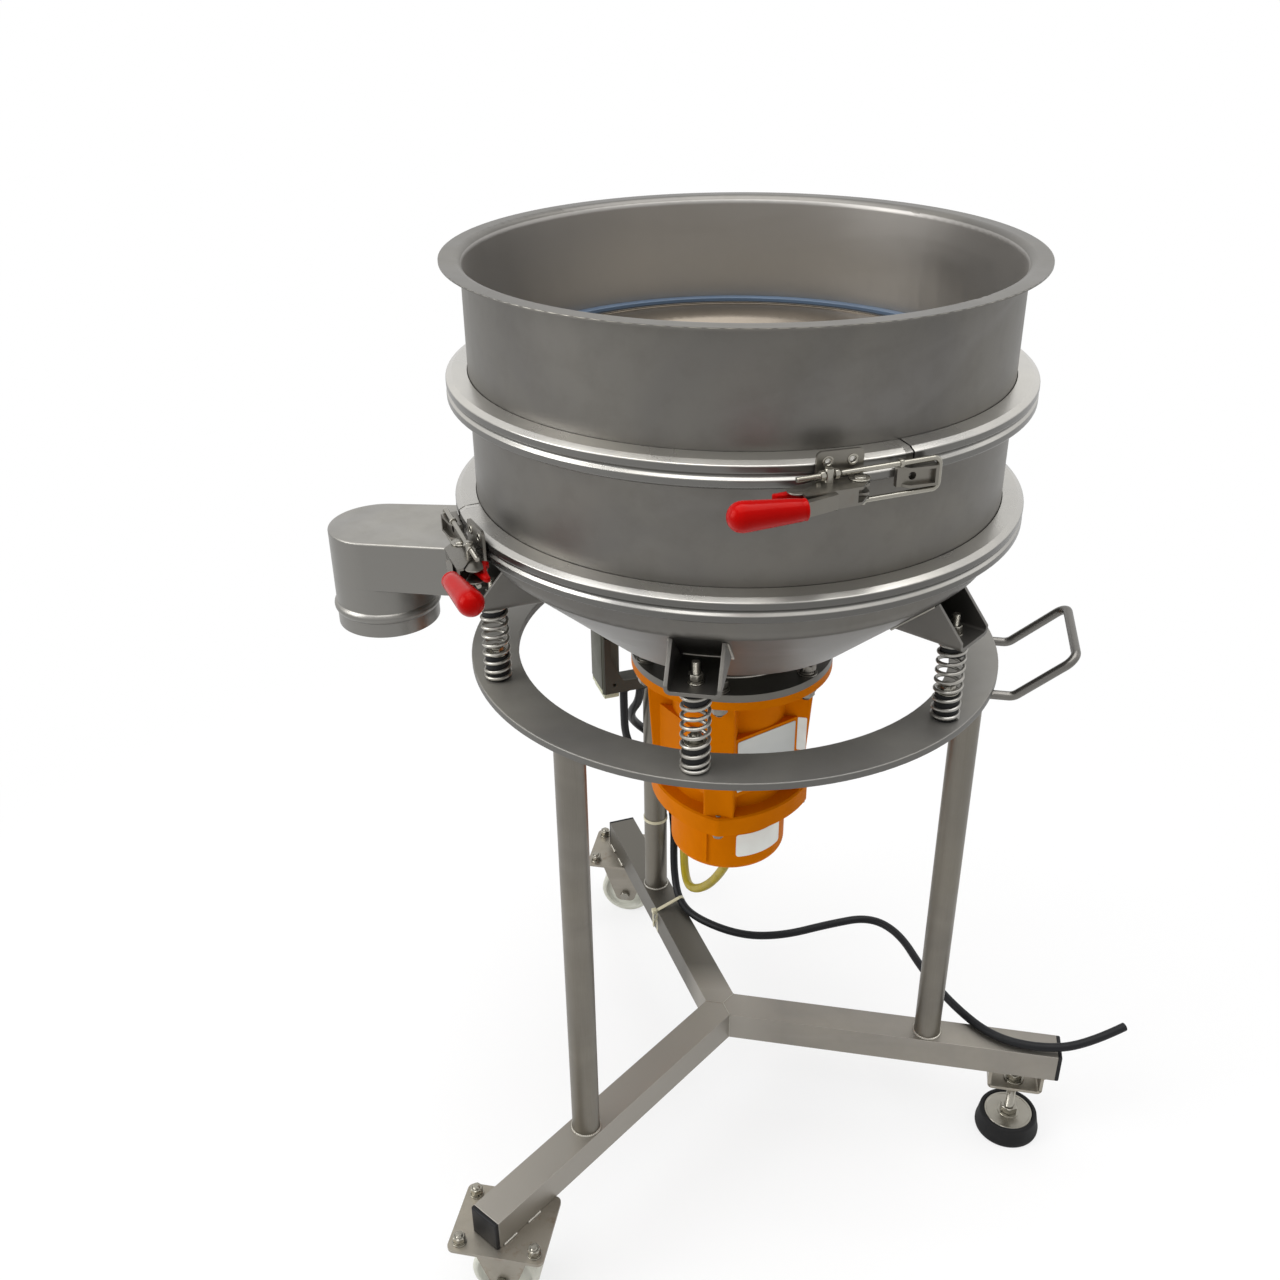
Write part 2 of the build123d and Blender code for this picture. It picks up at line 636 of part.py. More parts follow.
def clamp_base():
    """Angle plate with two screw holes, and two ears that hold the main pin."""
    p, t = CLAMP_PIN_OUT, CLAMP_PLATE_T
    upright = make_face(Polyline((-34, -14), (8, -14), (8, 30), (-34, 30), close=True))
    upright = fillet(upright.vertices(), 5.0) - Pos(-24, 21) * Circle(2.8) - Pos(-2, 21) * Circle(2.8)
    body = extrude(Plane.XZ * upright, -t)
    ear = make_face(Polyline((-14, 0), (10, 0), (8, p + 7), (-8, p + 7), close=True))
    ear = fillet(ear.vertices().group_by(Axis.Y)[-1], 5.0)
    for z in (-CLAMP_EAR_Z + 0.3, CLAMP_EAR_Z - CLAMP_EAR_T - 0.3):
        body += Pos(0, 0, z) * extrude(ear, CLAMP_EAR_T)
    top = CLAMP_EAR_Z + CLAMP_EAR_T
    return body + rod((0, p, -top - 1.5), (0, p, top + 1.5), CLAMP_PIN_R)


def clamp_catch():
    """Back plate with a hole, two rounded ears and the lip that the rods' end hooks behind."""
    x1 = CLAMP_HOOK - CLAMP_ROD_R - FIT
    x0 = x1 - CATCH_L
    drop = BAND_R - math.sqrt(BAND_R ** 2 - x1 ** 2)
    t, half, out = CLAMP_PLATE_T, CATCH_HALF, CATCH_OUT
    body = block(x0, x1, -drop, t, -half, half)
    ear = make_face(Polyline((x0, -1), (x1, -1), (x1, out), (x0 + 10, out), close=True))
    ear = fillet(ear.vertices().group_by(Axis.Y)[-1], 4.0)
    for z in (-half, half - CLAMP_EAR_T):
        body += Pos(0, 0, z) * extrude(ear, CLAMP_EAR_T)
    body += block(x1 - t, x1, 0, out, -half, half)
    hole = Pos(x0 + 14, 0, 0) * Cylinder(3.5, 60, rotation=(90, 0, 0))
    return body - (hole & block(x0, x1, -drop - 1, t + 1, -half, half))


def clamp_handle():
    """Two side plates joined by a folded web, and a cranked tang that carries the grip."""
    p, root = CLAMP_PIN_OUT, GRIP_ROOT + 2
    outline = make_face(Polyline(
        (6, p - 6), (6, p + 6), (-4, p + 18), (root, p + 24), (root, p + 17), (-44, p + 8), (-34, p - 6), close=True))
    outline = fillet(outline.vertices().group_by(Axis.X)[-1], 4.0)
    body = Pos(0, 0, -CLAMP_EAR_Z - CLAMP_EAR_T) * extrude(outline, CLAMP_EAR_T)
    body += Pos(0, 0, CLAMP_EAR_Z) * extrude(outline, CLAMP_EAR_T)
    top = CLAMP_EAR_Z + 1.0
    web = plate([(-8, p + 18.4), (-8, p + 15.4), (root, p + 21), (root, p + 24)], -top, 2 * top)
    body += web + clamp_tang()
    return body - clamp_pin_hole(0, CLAMP_PIN_R + PIN_FIT) - clamp_pin_hole(CLAMP_TRUNNION, CLAMP_TRUNNION_R + PIN_FIT)


def clamp_tang():
    """Flat bar that leaves the web and is cranked outwards into the grip."""
    mid, end = CLAMP_PIN_OUT + GRIP_OUT, GRIP_ROOT - GRIP_L + 16
    low, high = mid - TANG_T / 2, mid + TANG_T / 2
    way = [(-28, low - 10), (GRIP_ROOT - 2, low), (end, low), (end, high), (GRIP_ROOT, high), (-28, high - 9)]
    return plate(way, -TANG_H / 2, TANG_H)


def clamp_grip():
    """Dipped sleeve with a round end, wider towards it, over the tang."""
    root = Plane(origin=(GRIP_ROOT, CLAMP_PIN_OUT + GRIP_OUT, 0), x_dir=(0, 1, 0), z_dir=(-1, 0, 0))
    body = loft([root * Circle(GRIP_ROOT_R), root.offset(GRIP_L) * Circle(GRIP_END_R)])
    body = fillet(body.edges().group_by(Axis.X)[0], GRIP_END_R - 2.0)
    return body - clamp_tang()


def clamp_rods():
    """The latch: two rods joined by a bent end, sloping to the catch from a pin that turns in the handle."""
    p, t, z = CLAMP_PIN_OUT, CLAMP_TRUNNION, CLAMP_ROD_Z
    hook = (CLAMP_HOOK, CLAMP_HOOK_OUT)
    tail = (t - CLAMP_ROD_TAIL, p + CLAMP_ROD_TAIL * (p - CLAMP_HOOK_OUT) / (CLAMP_HOOK - t))
    path = FilletPolyline((*tail, -z), (*hook, -z), (*hook, z), (*tail, z), radius=CLAMP_HOOK_BEND)
    section = Plane(origin=path @ 0, z_dir=path % 0) * Circle(CLAMP_ROD_R)
    return sweep(section, path) + rod((t, p, -z - 4), (t, p, z + 4), CLAMP_TRUNNION_R)


def clamp_bases():
    out = []
    for _, azimuth, z, side in clamp_places():
        for piece in (clamp_base(), clamp_catch()):
            piece = clamp_placed(piece, azimuth, z, side) - Pos(0, 0, z) * Cylinder(BAND_R + FIT, 200)
            out.append(largest(piece))
    return Compound(children=out)


# Switch box: a local frame on the rear leg, x along the box's face, y away from the screen's axis

def box_frame():
    azimuth = arm_azimuths()[2]
    return Plane(origin=polar(LEG_PCD_R, azimuth, BOX_Z), x_dir=polar(1, azimuth - 90), z_dir=(0, 0, 1))


def box_housing():
    y0 = BOX_PLATE_AT + BOX_PLATE_T
    case = block(-BOX_LEFT, -BOX_LEFT + BOX_W, y0, y0 + BOX_D, 0, BOX_H)
    case = fillet(case.edges().filter_by(Axis.Z), BOX_CORNER)
    inset = (BOX_D - BOX_FOOT_D) / 2
    foot = block(-BOX_LEFT + 3, -BOX_LEFT + BOX_W - 1, y0 + inset, y0 + BOX_D - inset, -BOX_FOOT_T, 0)
    entry = block(-BOX_LEFT + BOX_W, -BOX_ENTRY_IN, y0, y0 + BOX_ENTRY_D, 0, BOX_LUG_TOP)
    return case + foot + entry


def switch_box():
    return box_frame() * box_housing()


def box_bracket():
    """Dark mounting plate with a swept lug, and the spacer that reaches the leg."""
    y0, top, low, lug = BOX_PLATE_AT, BOX_H - 6, 2, BOX_LUG_TOP
    left = -BOX_LEFT + 2
    outline = FilletPolyline(
        (left, low), (left, top), (left + 9, top), (left + 9, 58), (left + 18, 34), (left + 26, lug + 1),
        (BOX_LUG_END, lug), (BOX_LUG_END, low), (left, low), radius=[3.0, 2.0, 2.0, 6.0, 20.0, 6.0, 3.0, 3.0])
    sheet = Pos(0, y0 + BOX_PLATE_T, 0) * extrude(Plane.XZ * make_face(outline), BOX_PLATE_T)
    hole = Pos(left + 13, y0, 15) * Cylinder(2.5, 20, rotation=(90, 0, 0))
    spacer = block(-BOX_LUG_END, BOX_LUG_END, y0 + BOX_PLATE_T, 0, low, lug) - Cylinder(LEG_R + FIT, 200)
    return box_frame() * (sheet - hole + spacer)


# Cords: straight runs joined by arcs; each corner's radius takes 0.45 of the shorter run beside it

def corner_radii(points, share=0.45):
    pts = [Vector(p) for p in points]
    radii = []
    for a, b, c in zip(pts, pts[1:], pts[2:]):
        u, v = b - a, c - b
        turn = math.acos(max(-1.0, min(1.0, u.dot(v) / (u.length * v.length))))
        radii.append(share * min(u.length, v.length) / math.tan(turn / 2))
    return radii


def cord(points, radius):
    path = FilletPolyline(*points, radius=corner_radii(points))
    section = Plane(origin=path @ 0, z_dir=path % 0) * Circle(radius)
    return sweep(section, path)


def beside_leg(x, y, z):
    """Point given from the rear leg's axis, x along the box's width, y outwards."""
    return box_frame().from_local_coords(Vector(x, y, z - BOX_Z))


def supply_route():
    near_leg = [
        (SUPPLY_IN_X, CORD_IN_Y, BOX_Z), (SUPPLY_IN_X, CORD_IN_Y, 472), (-46, -6, 430), (-28, 14, 385),
        (0, 28, 345), (26, 12, 305), (24, -14, 262), (21, -20, 215), (20, -26, 180)]
    return [beside_leg(*p) for p in near_leg] + [
        (-69, 201, 157.5), (-44, 162, 157.5), (21, 128, 157.5), (82, 131, 157.5), (150, 160, 157.5),
        (208, 179, 157.5), (248, 147, 157.5), (273, 71, 157.5), (306, 5, 157.5), (347, -46, 157.5),
        (402, -63, 157.5), (460, -60, 162), (516, -31, 170)]


def motor_cord_route():
    near_leg = [
        (38, -16, 232), (41, -4, 295), (38, 22, 345), (12, 38, 388), (-22, 30, 425), (-35, 5, 458),
        (MOTOR_IN_X, CORD_IN_Y, 488), (MOTOR_IN_X, CORD_IN_Y, BOX_Z)]
    return [
        (8, 20, COVER_BOTTOM), (8, 20, 385), (-19, 85, 283), (-48, 145, 222), (-60, 196, 206),
    ] + [beside_leg(*p) for p in near_leg]


def supply_cord():
    return cord(supply_route(), SUPPLY_R)


def motor_cord():
    return cord(motor_cord_route(), MOTOR_CORD_R)


def nodes():
    front, rear = caster_centres()
    out = {
        "upper_hopper": upper_hopper(),
        "mid_deck": mid_deck(),
        "bottom_pan": bottom_pan(),
        "screen_ring": screen_ring(),
        "screen_seal": screen_seal(),
        "screen_mesh": screen_mesh(),
        "upper_band": clamp_band(JOINT1_Z + BAND_H / 2, UPPER_SPLITS),
        "lower_band": clamp_band(JOINT2_Z + BAND_H / 2, LOWER_SPLITS),
        "discharge_duct": discharge_duct(),
        "outlet_spigot": outlet_spigot(),
        "adapter_plate": adapter_plate(),
        "motor_body": motor_body(),
        "motor_cover": motor_cover(),
        "coil_springs": coil_springs(),
        "spring_brackets": spring_brackets(),
        "spring_buffers": spring_buffers(),
        "spring_studs": spring_studs(),
        "ring_plate": ring_plate(),
        "legs": legs(),
        "base_frame": base_frame(),
        "end_caps": end_caps(),
        "push_handle": push_handle(),
        "caster_forks": Compound(children=[caster_fork(c) for c in (front, rear)]),
        "caster_axles": Compound(children=[caster_axle(c) for c in (front, rear)]),
        "front_wheel": caster_wheel(front),
        "rear_wheel": caster_wheel(rear),
        "foot_bracket": foot_bracket(),
        "foot_stud": foot_stud(),
        "foot_pad": foot_pad(),
        "foot_disc": foot_disc(),
        "clamp_bases": clamp_bases(),
        "switch_box": switch_box(),
        "box_bracket": box_bracket(),
    }
    for name, azimuth, z, side in clamp_places():
        out[name + "_clamp_handle"] = clamp_placed(clamp_handle(), azimuth, z, side)
        out[name + "_clamp_grip"] = clamp_placed(clamp_grip(), azimuth, z, side)
        out[name + "_clamp_rods"] = clamp_placed(clamp_rods(), azimuth, z, side)
    return out


solids = nodes()
cords = {"supply_cord": supply_cord(), "motor_cord": motor_cord()}
extent = Compound(children=list(solids.values())).bounding_box()
SHIFT = Vector(-(extent.min.X + extent.max.X) / 2, -(extent.min.Y + extent.max.Y) / 2, -extent.min.Z)
print("extent", extent.min, extent.max, "shift", SHIFT)
print("supply radii", [round(r, 1) for r in corner_radii(supply_route())])
print("motor radii", [round(r, 1) for r in corner_radii(motor_cord_route())])
for name, shape in {**solids, **cords}.items():
    moved = [Pos(SHIFT.X, SHIFT.Y, SHIFT.Z) * s for s in shape.solids()]
    export_step(moved[0] if len(moved) == 1 else Compound(children=moved), f"parts/{name}.step")
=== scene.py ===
import math
from collections import namedtuple
import bpy
import bmesh
from mathutils import Matrix, Vector


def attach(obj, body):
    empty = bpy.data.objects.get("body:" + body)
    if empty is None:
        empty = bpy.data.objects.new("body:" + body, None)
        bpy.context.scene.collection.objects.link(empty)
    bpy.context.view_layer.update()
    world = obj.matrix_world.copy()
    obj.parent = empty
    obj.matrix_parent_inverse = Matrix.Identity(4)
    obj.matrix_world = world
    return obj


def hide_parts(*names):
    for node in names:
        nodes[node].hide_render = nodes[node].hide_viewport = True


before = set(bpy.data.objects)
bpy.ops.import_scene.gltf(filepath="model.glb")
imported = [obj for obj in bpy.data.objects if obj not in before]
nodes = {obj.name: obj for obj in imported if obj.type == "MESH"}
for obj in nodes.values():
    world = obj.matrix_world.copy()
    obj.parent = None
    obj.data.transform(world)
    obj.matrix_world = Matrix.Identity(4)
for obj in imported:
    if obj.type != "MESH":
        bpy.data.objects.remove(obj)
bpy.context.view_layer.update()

# Sizes: millimetres and degrees, from the floor and the sieve's axis; AT is a distance from that axis
SHIFT = Vector((11.2923, -24.4478, 0.0))  # from the sieve's axis to the middle of the footprint
FOOT_AZ = -6.9
FRONT_AZ = FOOT_AZ - 120
REAR_AZ = FOOT_AZ + 120
AXLE_AZ = FOOT_AZ + 90
TUBE = 40.0  # square tube of the base
BASE_LOW = 111.0
BASE_TOP = BASE_LOW + TUBE
LEG_AT = 268.3
LEG_R = 16.5
CASTOR_AT = 407.0
WHEEL_R = 40.0
FOOT_AT = 386.0
RING_LOW = 704.0  # ring plate that carries the springs
RING_TOP = 712.0
SPRING_AT = 272.0
SPRINGS = [-36.8 + 60 * k for k in range(6)]
BRACKET_LOW = 804.0
BRACKET_TOP = 808.0
BODY_R = 275.0
RIM_Z = 1145.0
SEAM = 856.0  # where the pan's straight wall meets its cone
CONE_R = 153.0  # the cone's lower edge
CONE_LOW = 747.5
UPPER_JOINT = 1021.0
LOWER_JOINT = 894.0
BAND_HALF = 14.3
DUCT_AT = 399.0
DUCT_AZ = 177.4
FLANGE_LOW = 682.0  # underside of the motor's flange
ADAPTER_TOP = 701.0  # top of the plate on that flange
MOTOR_AZ = -97.0
PLATE_AZ = -52.0  # the motor's first plate face
PLATE_AT = 69.3
BOX_Z = 512.0
MOTOR_EXIT = (8, 20, 428)  # where the motor's cord leaves the cover
SUPPLY_IN = (-50, -15, BOX_Z)  # where the cords enter the box, seen from the rear leg
MOTOR_IN = (-26, -15, BOX_Z)

# Latches: name, azimuth of the band's split, height of the joint, and the side the handle lies on
CLAMPS = [("upper_clamp", -60.5, UPPER_JOINT, 1), ("lower_clamp", -159.5, LOWER_JOINT, -1),
          ("rear_clamp", 20.5, LOWER_JOINT, -1)]

# Threads: radius, pitch, across the flats, nut's height, radius of the washer and of the split washer
Screw = namedtuple("Screw", "r pitch flats nut washer split")
M5 = Screw(2.5, 0.8, 8, 4, None, None)
M8 = Screw(4, 1.25, 13, 6.5, 8.5, 7.4)
M10 = Screw(5, 1.5, 16, 8, 11, 9)
M12 = Screw(6, 1.75, 18, 9.5, 13, None)


# Places: local frames in millimetres, carried into the shared frame in metres

def polar(r, azimuth, z=0.0):
    """Vector from the sieve's axis."""
    a = math.radians(azimuth)
    return Vector((r * math.cos(a), r * math.sin(a), z))


def at(p):
    """Point of the shared frame, in metres."""
    return (Vector(p) + SHIFT) / 1000


def spot(origin, z=(0, 0, 1), x=(1, 0, 0)):
    """Matrix from a local frame in millimetres to the shared frame."""
    z = Vector(z).normalized()
    x = (Vector(x) - z * Vector(x).dot(z)).normalized()
    y = z.cross(x)
    m = Matrix((x, y, z)).transposed().to_4x4()
    return Matrix.Translation(at(origin)) @ m @ Matrix.Scale(0.001, 4)


def stand(r, azimuth):
    """Upright frame on the floor, x pointing away from the sieve's axis."""
    return spot(polar(r, azimuth), (0, 0, 1), polar(1, azimuth))


# Meshes

def placed(name, data):
    """New object in the scene."""
    obj = bpy.data.objects.new(name, data)
    bpy.context.scene.collection.objects.link(obj)
    return obj


def angles(n):
    """Even steps round a circle."""
    return [2 * math.pi * i / n for i in range(n)]


class Piece:
    """One mesh that ends as an object riding on a body; m is the local frame a shape is given in."""

    def __init__(self, name):
        self.name = name
        self.bm = bmesh.new()

    def skin(self, rows, ends=True, loop=False):
        """Faces between rows of points, each row a closed ring."""
        rings = [[self.bm.verts.new(p) for p in row] for row in rows]
        n = len(rings[0])
        pairs = list(zip(rings, rings[1:]))
        if loop:
            pairs.append((rings[-1], rings[0]))
        for a, b in pairs:
            for i in range(n):
                j = (i + 1) % n
                self.bm.faces.new((a[i], a[j], b[j], b[i]))
        if ends and not loop:
            self.bm.faces.new(rings[0][::-1])
            self.bm.faces.new(rings[-1])

    def lathe(self, m, profile, seg=40, loop=False, ends=True, out=None):
        """Turns a profile of (radius, height) about z; out(radius, angle, height) may change the radius."""
        rows = []
        for r, z in profile:
            row = []
            for a in angles(seg):
                q = r if out is None else out(r, a, z)
                row.append(m @ Vector((q * math.cos(a), q * math.sin(a), z)))
            rows.append(row)
        self.skin(rows, ends, loop)

    def nut(self, m, flats, z0, height, bore=0.0, seg=48):
        """Hexagon with turned corners; with a bore it is a nut, without one a bolt's head."""
        half, lead_in, z1 = flats / 2, 0.6, z0 + height
        deep = 0.13 * half

        def hexed(r, a, z):
            turn = (a + math.pi / 6) % (math.pi / 3) - math.pi / 6
            corner = half / math.cos(turn)
            near = min(z - z0, z1 - z)
            if r <= bore + lead_in:
                return r
            return min(corner, half * (0.97 + 0.19 * min(1.0, near / deep)))

        heights = [z0, z0 + deep / 2, z0 + deep, z1 - deep, z1 - deep / 2, z1]
        rows = [(half, z) for z in heights]
        if bore:
            rows = [(bore, z0)] + rows + [(bore + lead_in, z1), (bore, z1 - lead_in)]
        self.lathe(m, rows, seg, ends=not bore, out=hexed)

    def thread(self, m, r, z0, z1, pitch, seg=20):
        """Helical thread between two heights, closed by a turned end."""
        depth = 0.55 * pitch
        rows = []
        steps = int((z1 - z0) / pitch * 2) + 2
        for k in range(steps + 1):
            row = []
            for i, a in enumerate(angles(seg)):
                z = min(max(z0 + pitch * (k / 2 - 1 + i / seg), z0), z1)
                q = r if k % 2 and z0 + 0.01 < z < z1 - 0.01 else r - depth
                row.append(m @ Vector((q * math.cos(a), q * math.sin(a), z)))
            rows.append(row)
        self.skin(rows)

    def washer(self, m, r_out, r_in, z0, thick):
        e = min(0.3, thick / 4)
        self.lathe(m, [(r_in, z0), (r_out - e, z0), (r_out, z0 + e), (r_out, z0 + thick - e),
                       (r_out - e, z0 + thick), (r_in, z0 + thick)], 40, loop=True)

    def split_washer(self, m, r_out, r_in, z0, thick, slit=12.0, rise=0.5, seg=36):
        """A flat coil of nearly one turn, slightly raised at one end."""
        rows = []
        for k in range(seg + 1):
            a = math.radians(slit / 2 + (360 - slit) * k / seg)
            z = z0 + rise * k / seg
            rows.append([m @ Vector((r * math.cos(a), r * math.sin(a), z + dz))
                         for r, dz in ((r_in, 0), (r_out, 0), (r_out, thick), (r_in, thick))])
        self.skin(rows)

    def fasten(self, m, size, z, flat, split):
        """Flat washer, split washer and nut from a height upwards."""
        self.washer(m, size.washer, size.r + 0.1, z, flat)
        self.split_washer(m, size.split, size.r + 0.2, z + flat, split)
        self.nut(m, size.flats, z + flat + split + 0.1 * size.r, size.nut, size.r)

    def sweep(self, points, radius, seg=12):
        """Round bar along points in the shared frame; radius in metres, or one for each point."""
        pts = [Vector(p) for p in points]
        radii = radius if isinstance(radius, list) else [radius] * len(pts)
        rows = []
        side = None
        for k, p in enumerate(pts):
            t = (pts[min(k + 1, len(pts) - 1)] - pts[max(k - 1, 0)]).normalized()
            if side is None:
                side = t.orthogonal().normalized()
            side = (side - t * side.dot(t)).normalized()
            up = t.cross(side)
            rows.append([p + radii[k] * (side * math.cos(a) + up * math.sin(a)) for a in angles(seg)])
        self.skin(rows)

    def weld(self, points, r, pitch=2.4, seg=8):
        """Rippled bead laid along points in the shared frame; r and pitch in millimetres."""
        way, radii = [], []
        travelled = 0.0
        for a, b in zip(points, points[1:]):
            run = (b - a).length * 1000
            n = max(1, round(run / pitch * 4))
            for i in range(n):
                d = travelled + run * i / n
                ripple = 0.12 * math.sin(2 * math.pi * d / pitch) + 0.06 * math.sin(0.43 * d)
                way.append(a.lerp(b, i / n))
                radii.append(r / 1000 * (0.88 + ripple))
            travelled += run
        self.sweep(way + [points[-1]], radii + [r / 1000 * 0.7], seg)

    def slab(self, m, lo, hi, bevel):
        """Block between two corners, its edges rounded."""
        made = bmesh.ops.create_cube(self.bm, size=1.0)
        size = Vector(hi) - Vector(lo)
        mid = (Vector(hi) + Vector(lo)) / 2
        for v in made["verts"]:
            v.co = Vector((v.co.x * size.x, v.co.y * size.y, v.co.z * size.z)) + mid
        edges = list({e for v in made["verts"] for e in v.link_edges})
        out = bmesh.ops.bevel(self.bm, geom=edges + made["verts"], offset=bevel, segments=2,
                              affect="EDGES", profile=0.5, clamp_overlap=True)
        verts = {v for f in out["faces"] for v in f.verts} | {v for v in made["verts"] if v.is_valid}
        for v in verts:
            v.co = m @ v.co

    def plate(self, m, outline, z0, z1):
        """Flat sheet from z0 to z1."""
        self.skin([[m @ Vector((x, y, z)) for x, y in outline] for z in (z0, z1)])

    def done(self, material, body="machine", replaces=(), sharp=35.0):
        """Turns the mesh into an object; edges sharper than an angle stay sharp."""
        bm = self.bm
        bmesh.ops.recalc_face_normals(bm, faces=bm.faces)
        for f in bm.faces:
            f.smooth = True
        for e in bm.edges:
            e.smooth = not (len(e.link_faces) == 2 and e.calc_face_angle(0) > math.radians(sharp))
        mesh = bpy.data.meshes.new(self.name)
        bm.to_mesh(mesh)
        bm.free()
        obj = placed(self.name, mesh)
        obj.data.materials.append(material)
        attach(obj, body)
        if replaces:
            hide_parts(*replaces)
        return obj


# Materials

def rgb(r, g, b):
    """Linear colour of an 8-bit display colour."""
    return (*(((c / 255 + 0.055) / 1.055) ** 2.4 if c > 10 else c / 255 / 12.92 for c in (r, g, b)), 1.0)


class Tree:
    """Nodes of a material or of the world, and the links between them."""

    def __init__(self, tree):
        self.tree = tree
        tree.nodes.clear()

    def add(self, kind, **settings):
        node = self.tree.nodes.new(kind)
        for key, value in settings.items():
            setattr(node, key, value)
        return node

    def link(self, a, b):
        self.tree.links.new(a, b)

    def feed(self, socket, value):
        if isinstance(value, bpy.types.NodeSocket):
            self.link(value, socket)
        else:
            socket.default_value = value

    def math(self, op, a, b=0.0, clamp=False):
        node = self.add("ShaderNodeMath", operation=op, use_clamp=clamp)
        self.feed(node.inputs[0], a)
        self.feed(node.inputs[1], b)
        return node.outputs[0]


class Shader(Tree):
    """One material."""

    def __init__(self, name, rough=0.5, metallic=0.0, specular=0.5):
        self.mat = bpy.data.materials.new(name)
        self.mat.use_nodes = True
        super().__init__(self.mat.node_tree)
        self.out = self.add("ShaderNodeOutputMaterial")
        self.bsdf = self.add("ShaderNodeBsdfPrincipled")
        self.link(self.bsdf.outputs[0], self.out.inputs[0])
        self.set("Roughness", rough)
        self.set("Metallic", metallic)
        self.set("Specular IOR Level", specular)
        self.place = self.add("ShaderNodeTexCoord").outputs["Object"]

    def set(self, name, value):
        self.feed(self.bsdf.inputs[name], value)

    def mapped(self, scale):
        node = self.add("ShaderNodeMapping")
        self.link(self.place, node.inputs["Vector"])
        node.inputs["Scale"].default_value = scale
        return node.outputs[0]

    def split(self, vector):
        node = self.add("ShaderNodeSeparateXYZ")
        self.link(vector, node.inputs[0])
        return node.outputs

    def around(self, r_scale, z_scale, a_scale):
        """Coordinates for marks that run round the sieve's axis: radius, height and angle."""
        c = at((0, 0, 0))
        shift = self.add("ShaderNodeVectorMath", operation="SUBTRACT")
        self.link(self.place, shift.inputs[0])
        shift.inputs[1].default_value = (c.x, c.y, 0)
        x, y, z = self.split(shift.outputs[0])
        r = self.math("SQRT", self.math("ADD", self.math("MULTIPLY", x, x), self.math("MULTIPLY", y, y)))
        join = self.add("ShaderNodeCombineXYZ")
        parts = ((r, r_scale), (z, z_scale), (self.math("ARCTAN2", y, x), a_scale))
        for socket, (part, scale) in zip(join.inputs, parts):
            self.link(self.math("MULTIPLY", part, scale), socket)
        return join.outputs[0]

    def noise(self, scale, detail=3.0, rough=0.5, vector=None, distortion=0.0):
        node = self.add("ShaderNodeTexNoise")
        self.link(vector or self.place, node.inputs["Vector"])
        settings = {"Scale": scale, "Detail": detail, "Roughness": rough, "Distortion": distortion}
        for key, value in settings.items():
            node.inputs[key].default_value = value
        return node.outputs[0]

    def span(self, value, lo, hi, out_lo=0.0, out_hi=1.0, smooth=False):
        node = self.add("ShaderNodeMapRange", interpolation_type="SMOOTHSTEP" if smooth else "LINEAR")
        self.feed(node.inputs[0], value)
        for socket, v in zip(node.inputs[1:5], (lo, hi, out_lo, out_hi)):
            socket.default_value = v
        return node.outputs[0]

    def mix(self, factor, a, b):
        node = self.add("ShaderNodeMix", data_type="RGBA")
        self.feed(node.inputs[0], factor)
        self.feed(node.inputs[6], a)
        self.feed(node.inputs[7], b)
        return node.outputs[2]

    def bump(self, height, distance):
        """Relief of the given depth in metres."""
        node = self.add("ShaderNodeBump")
        self.link(height, node.inputs["Height"])
        node.inputs["Distance"].default_value = distance
        self.link(node.outputs[0], self.bsdf.inputs["Normal"])

    def axis(self, k):
        """One of the shared frame's coordinates."""
        return self.split(self.place)[k]


def toned(shade, factor, cool=0.0):
    """A shade made lighter or darker, its blue by a little more or less."""
    r, g, b = shade
    return rgb(r * factor, g * factor, b * (factor + cool))


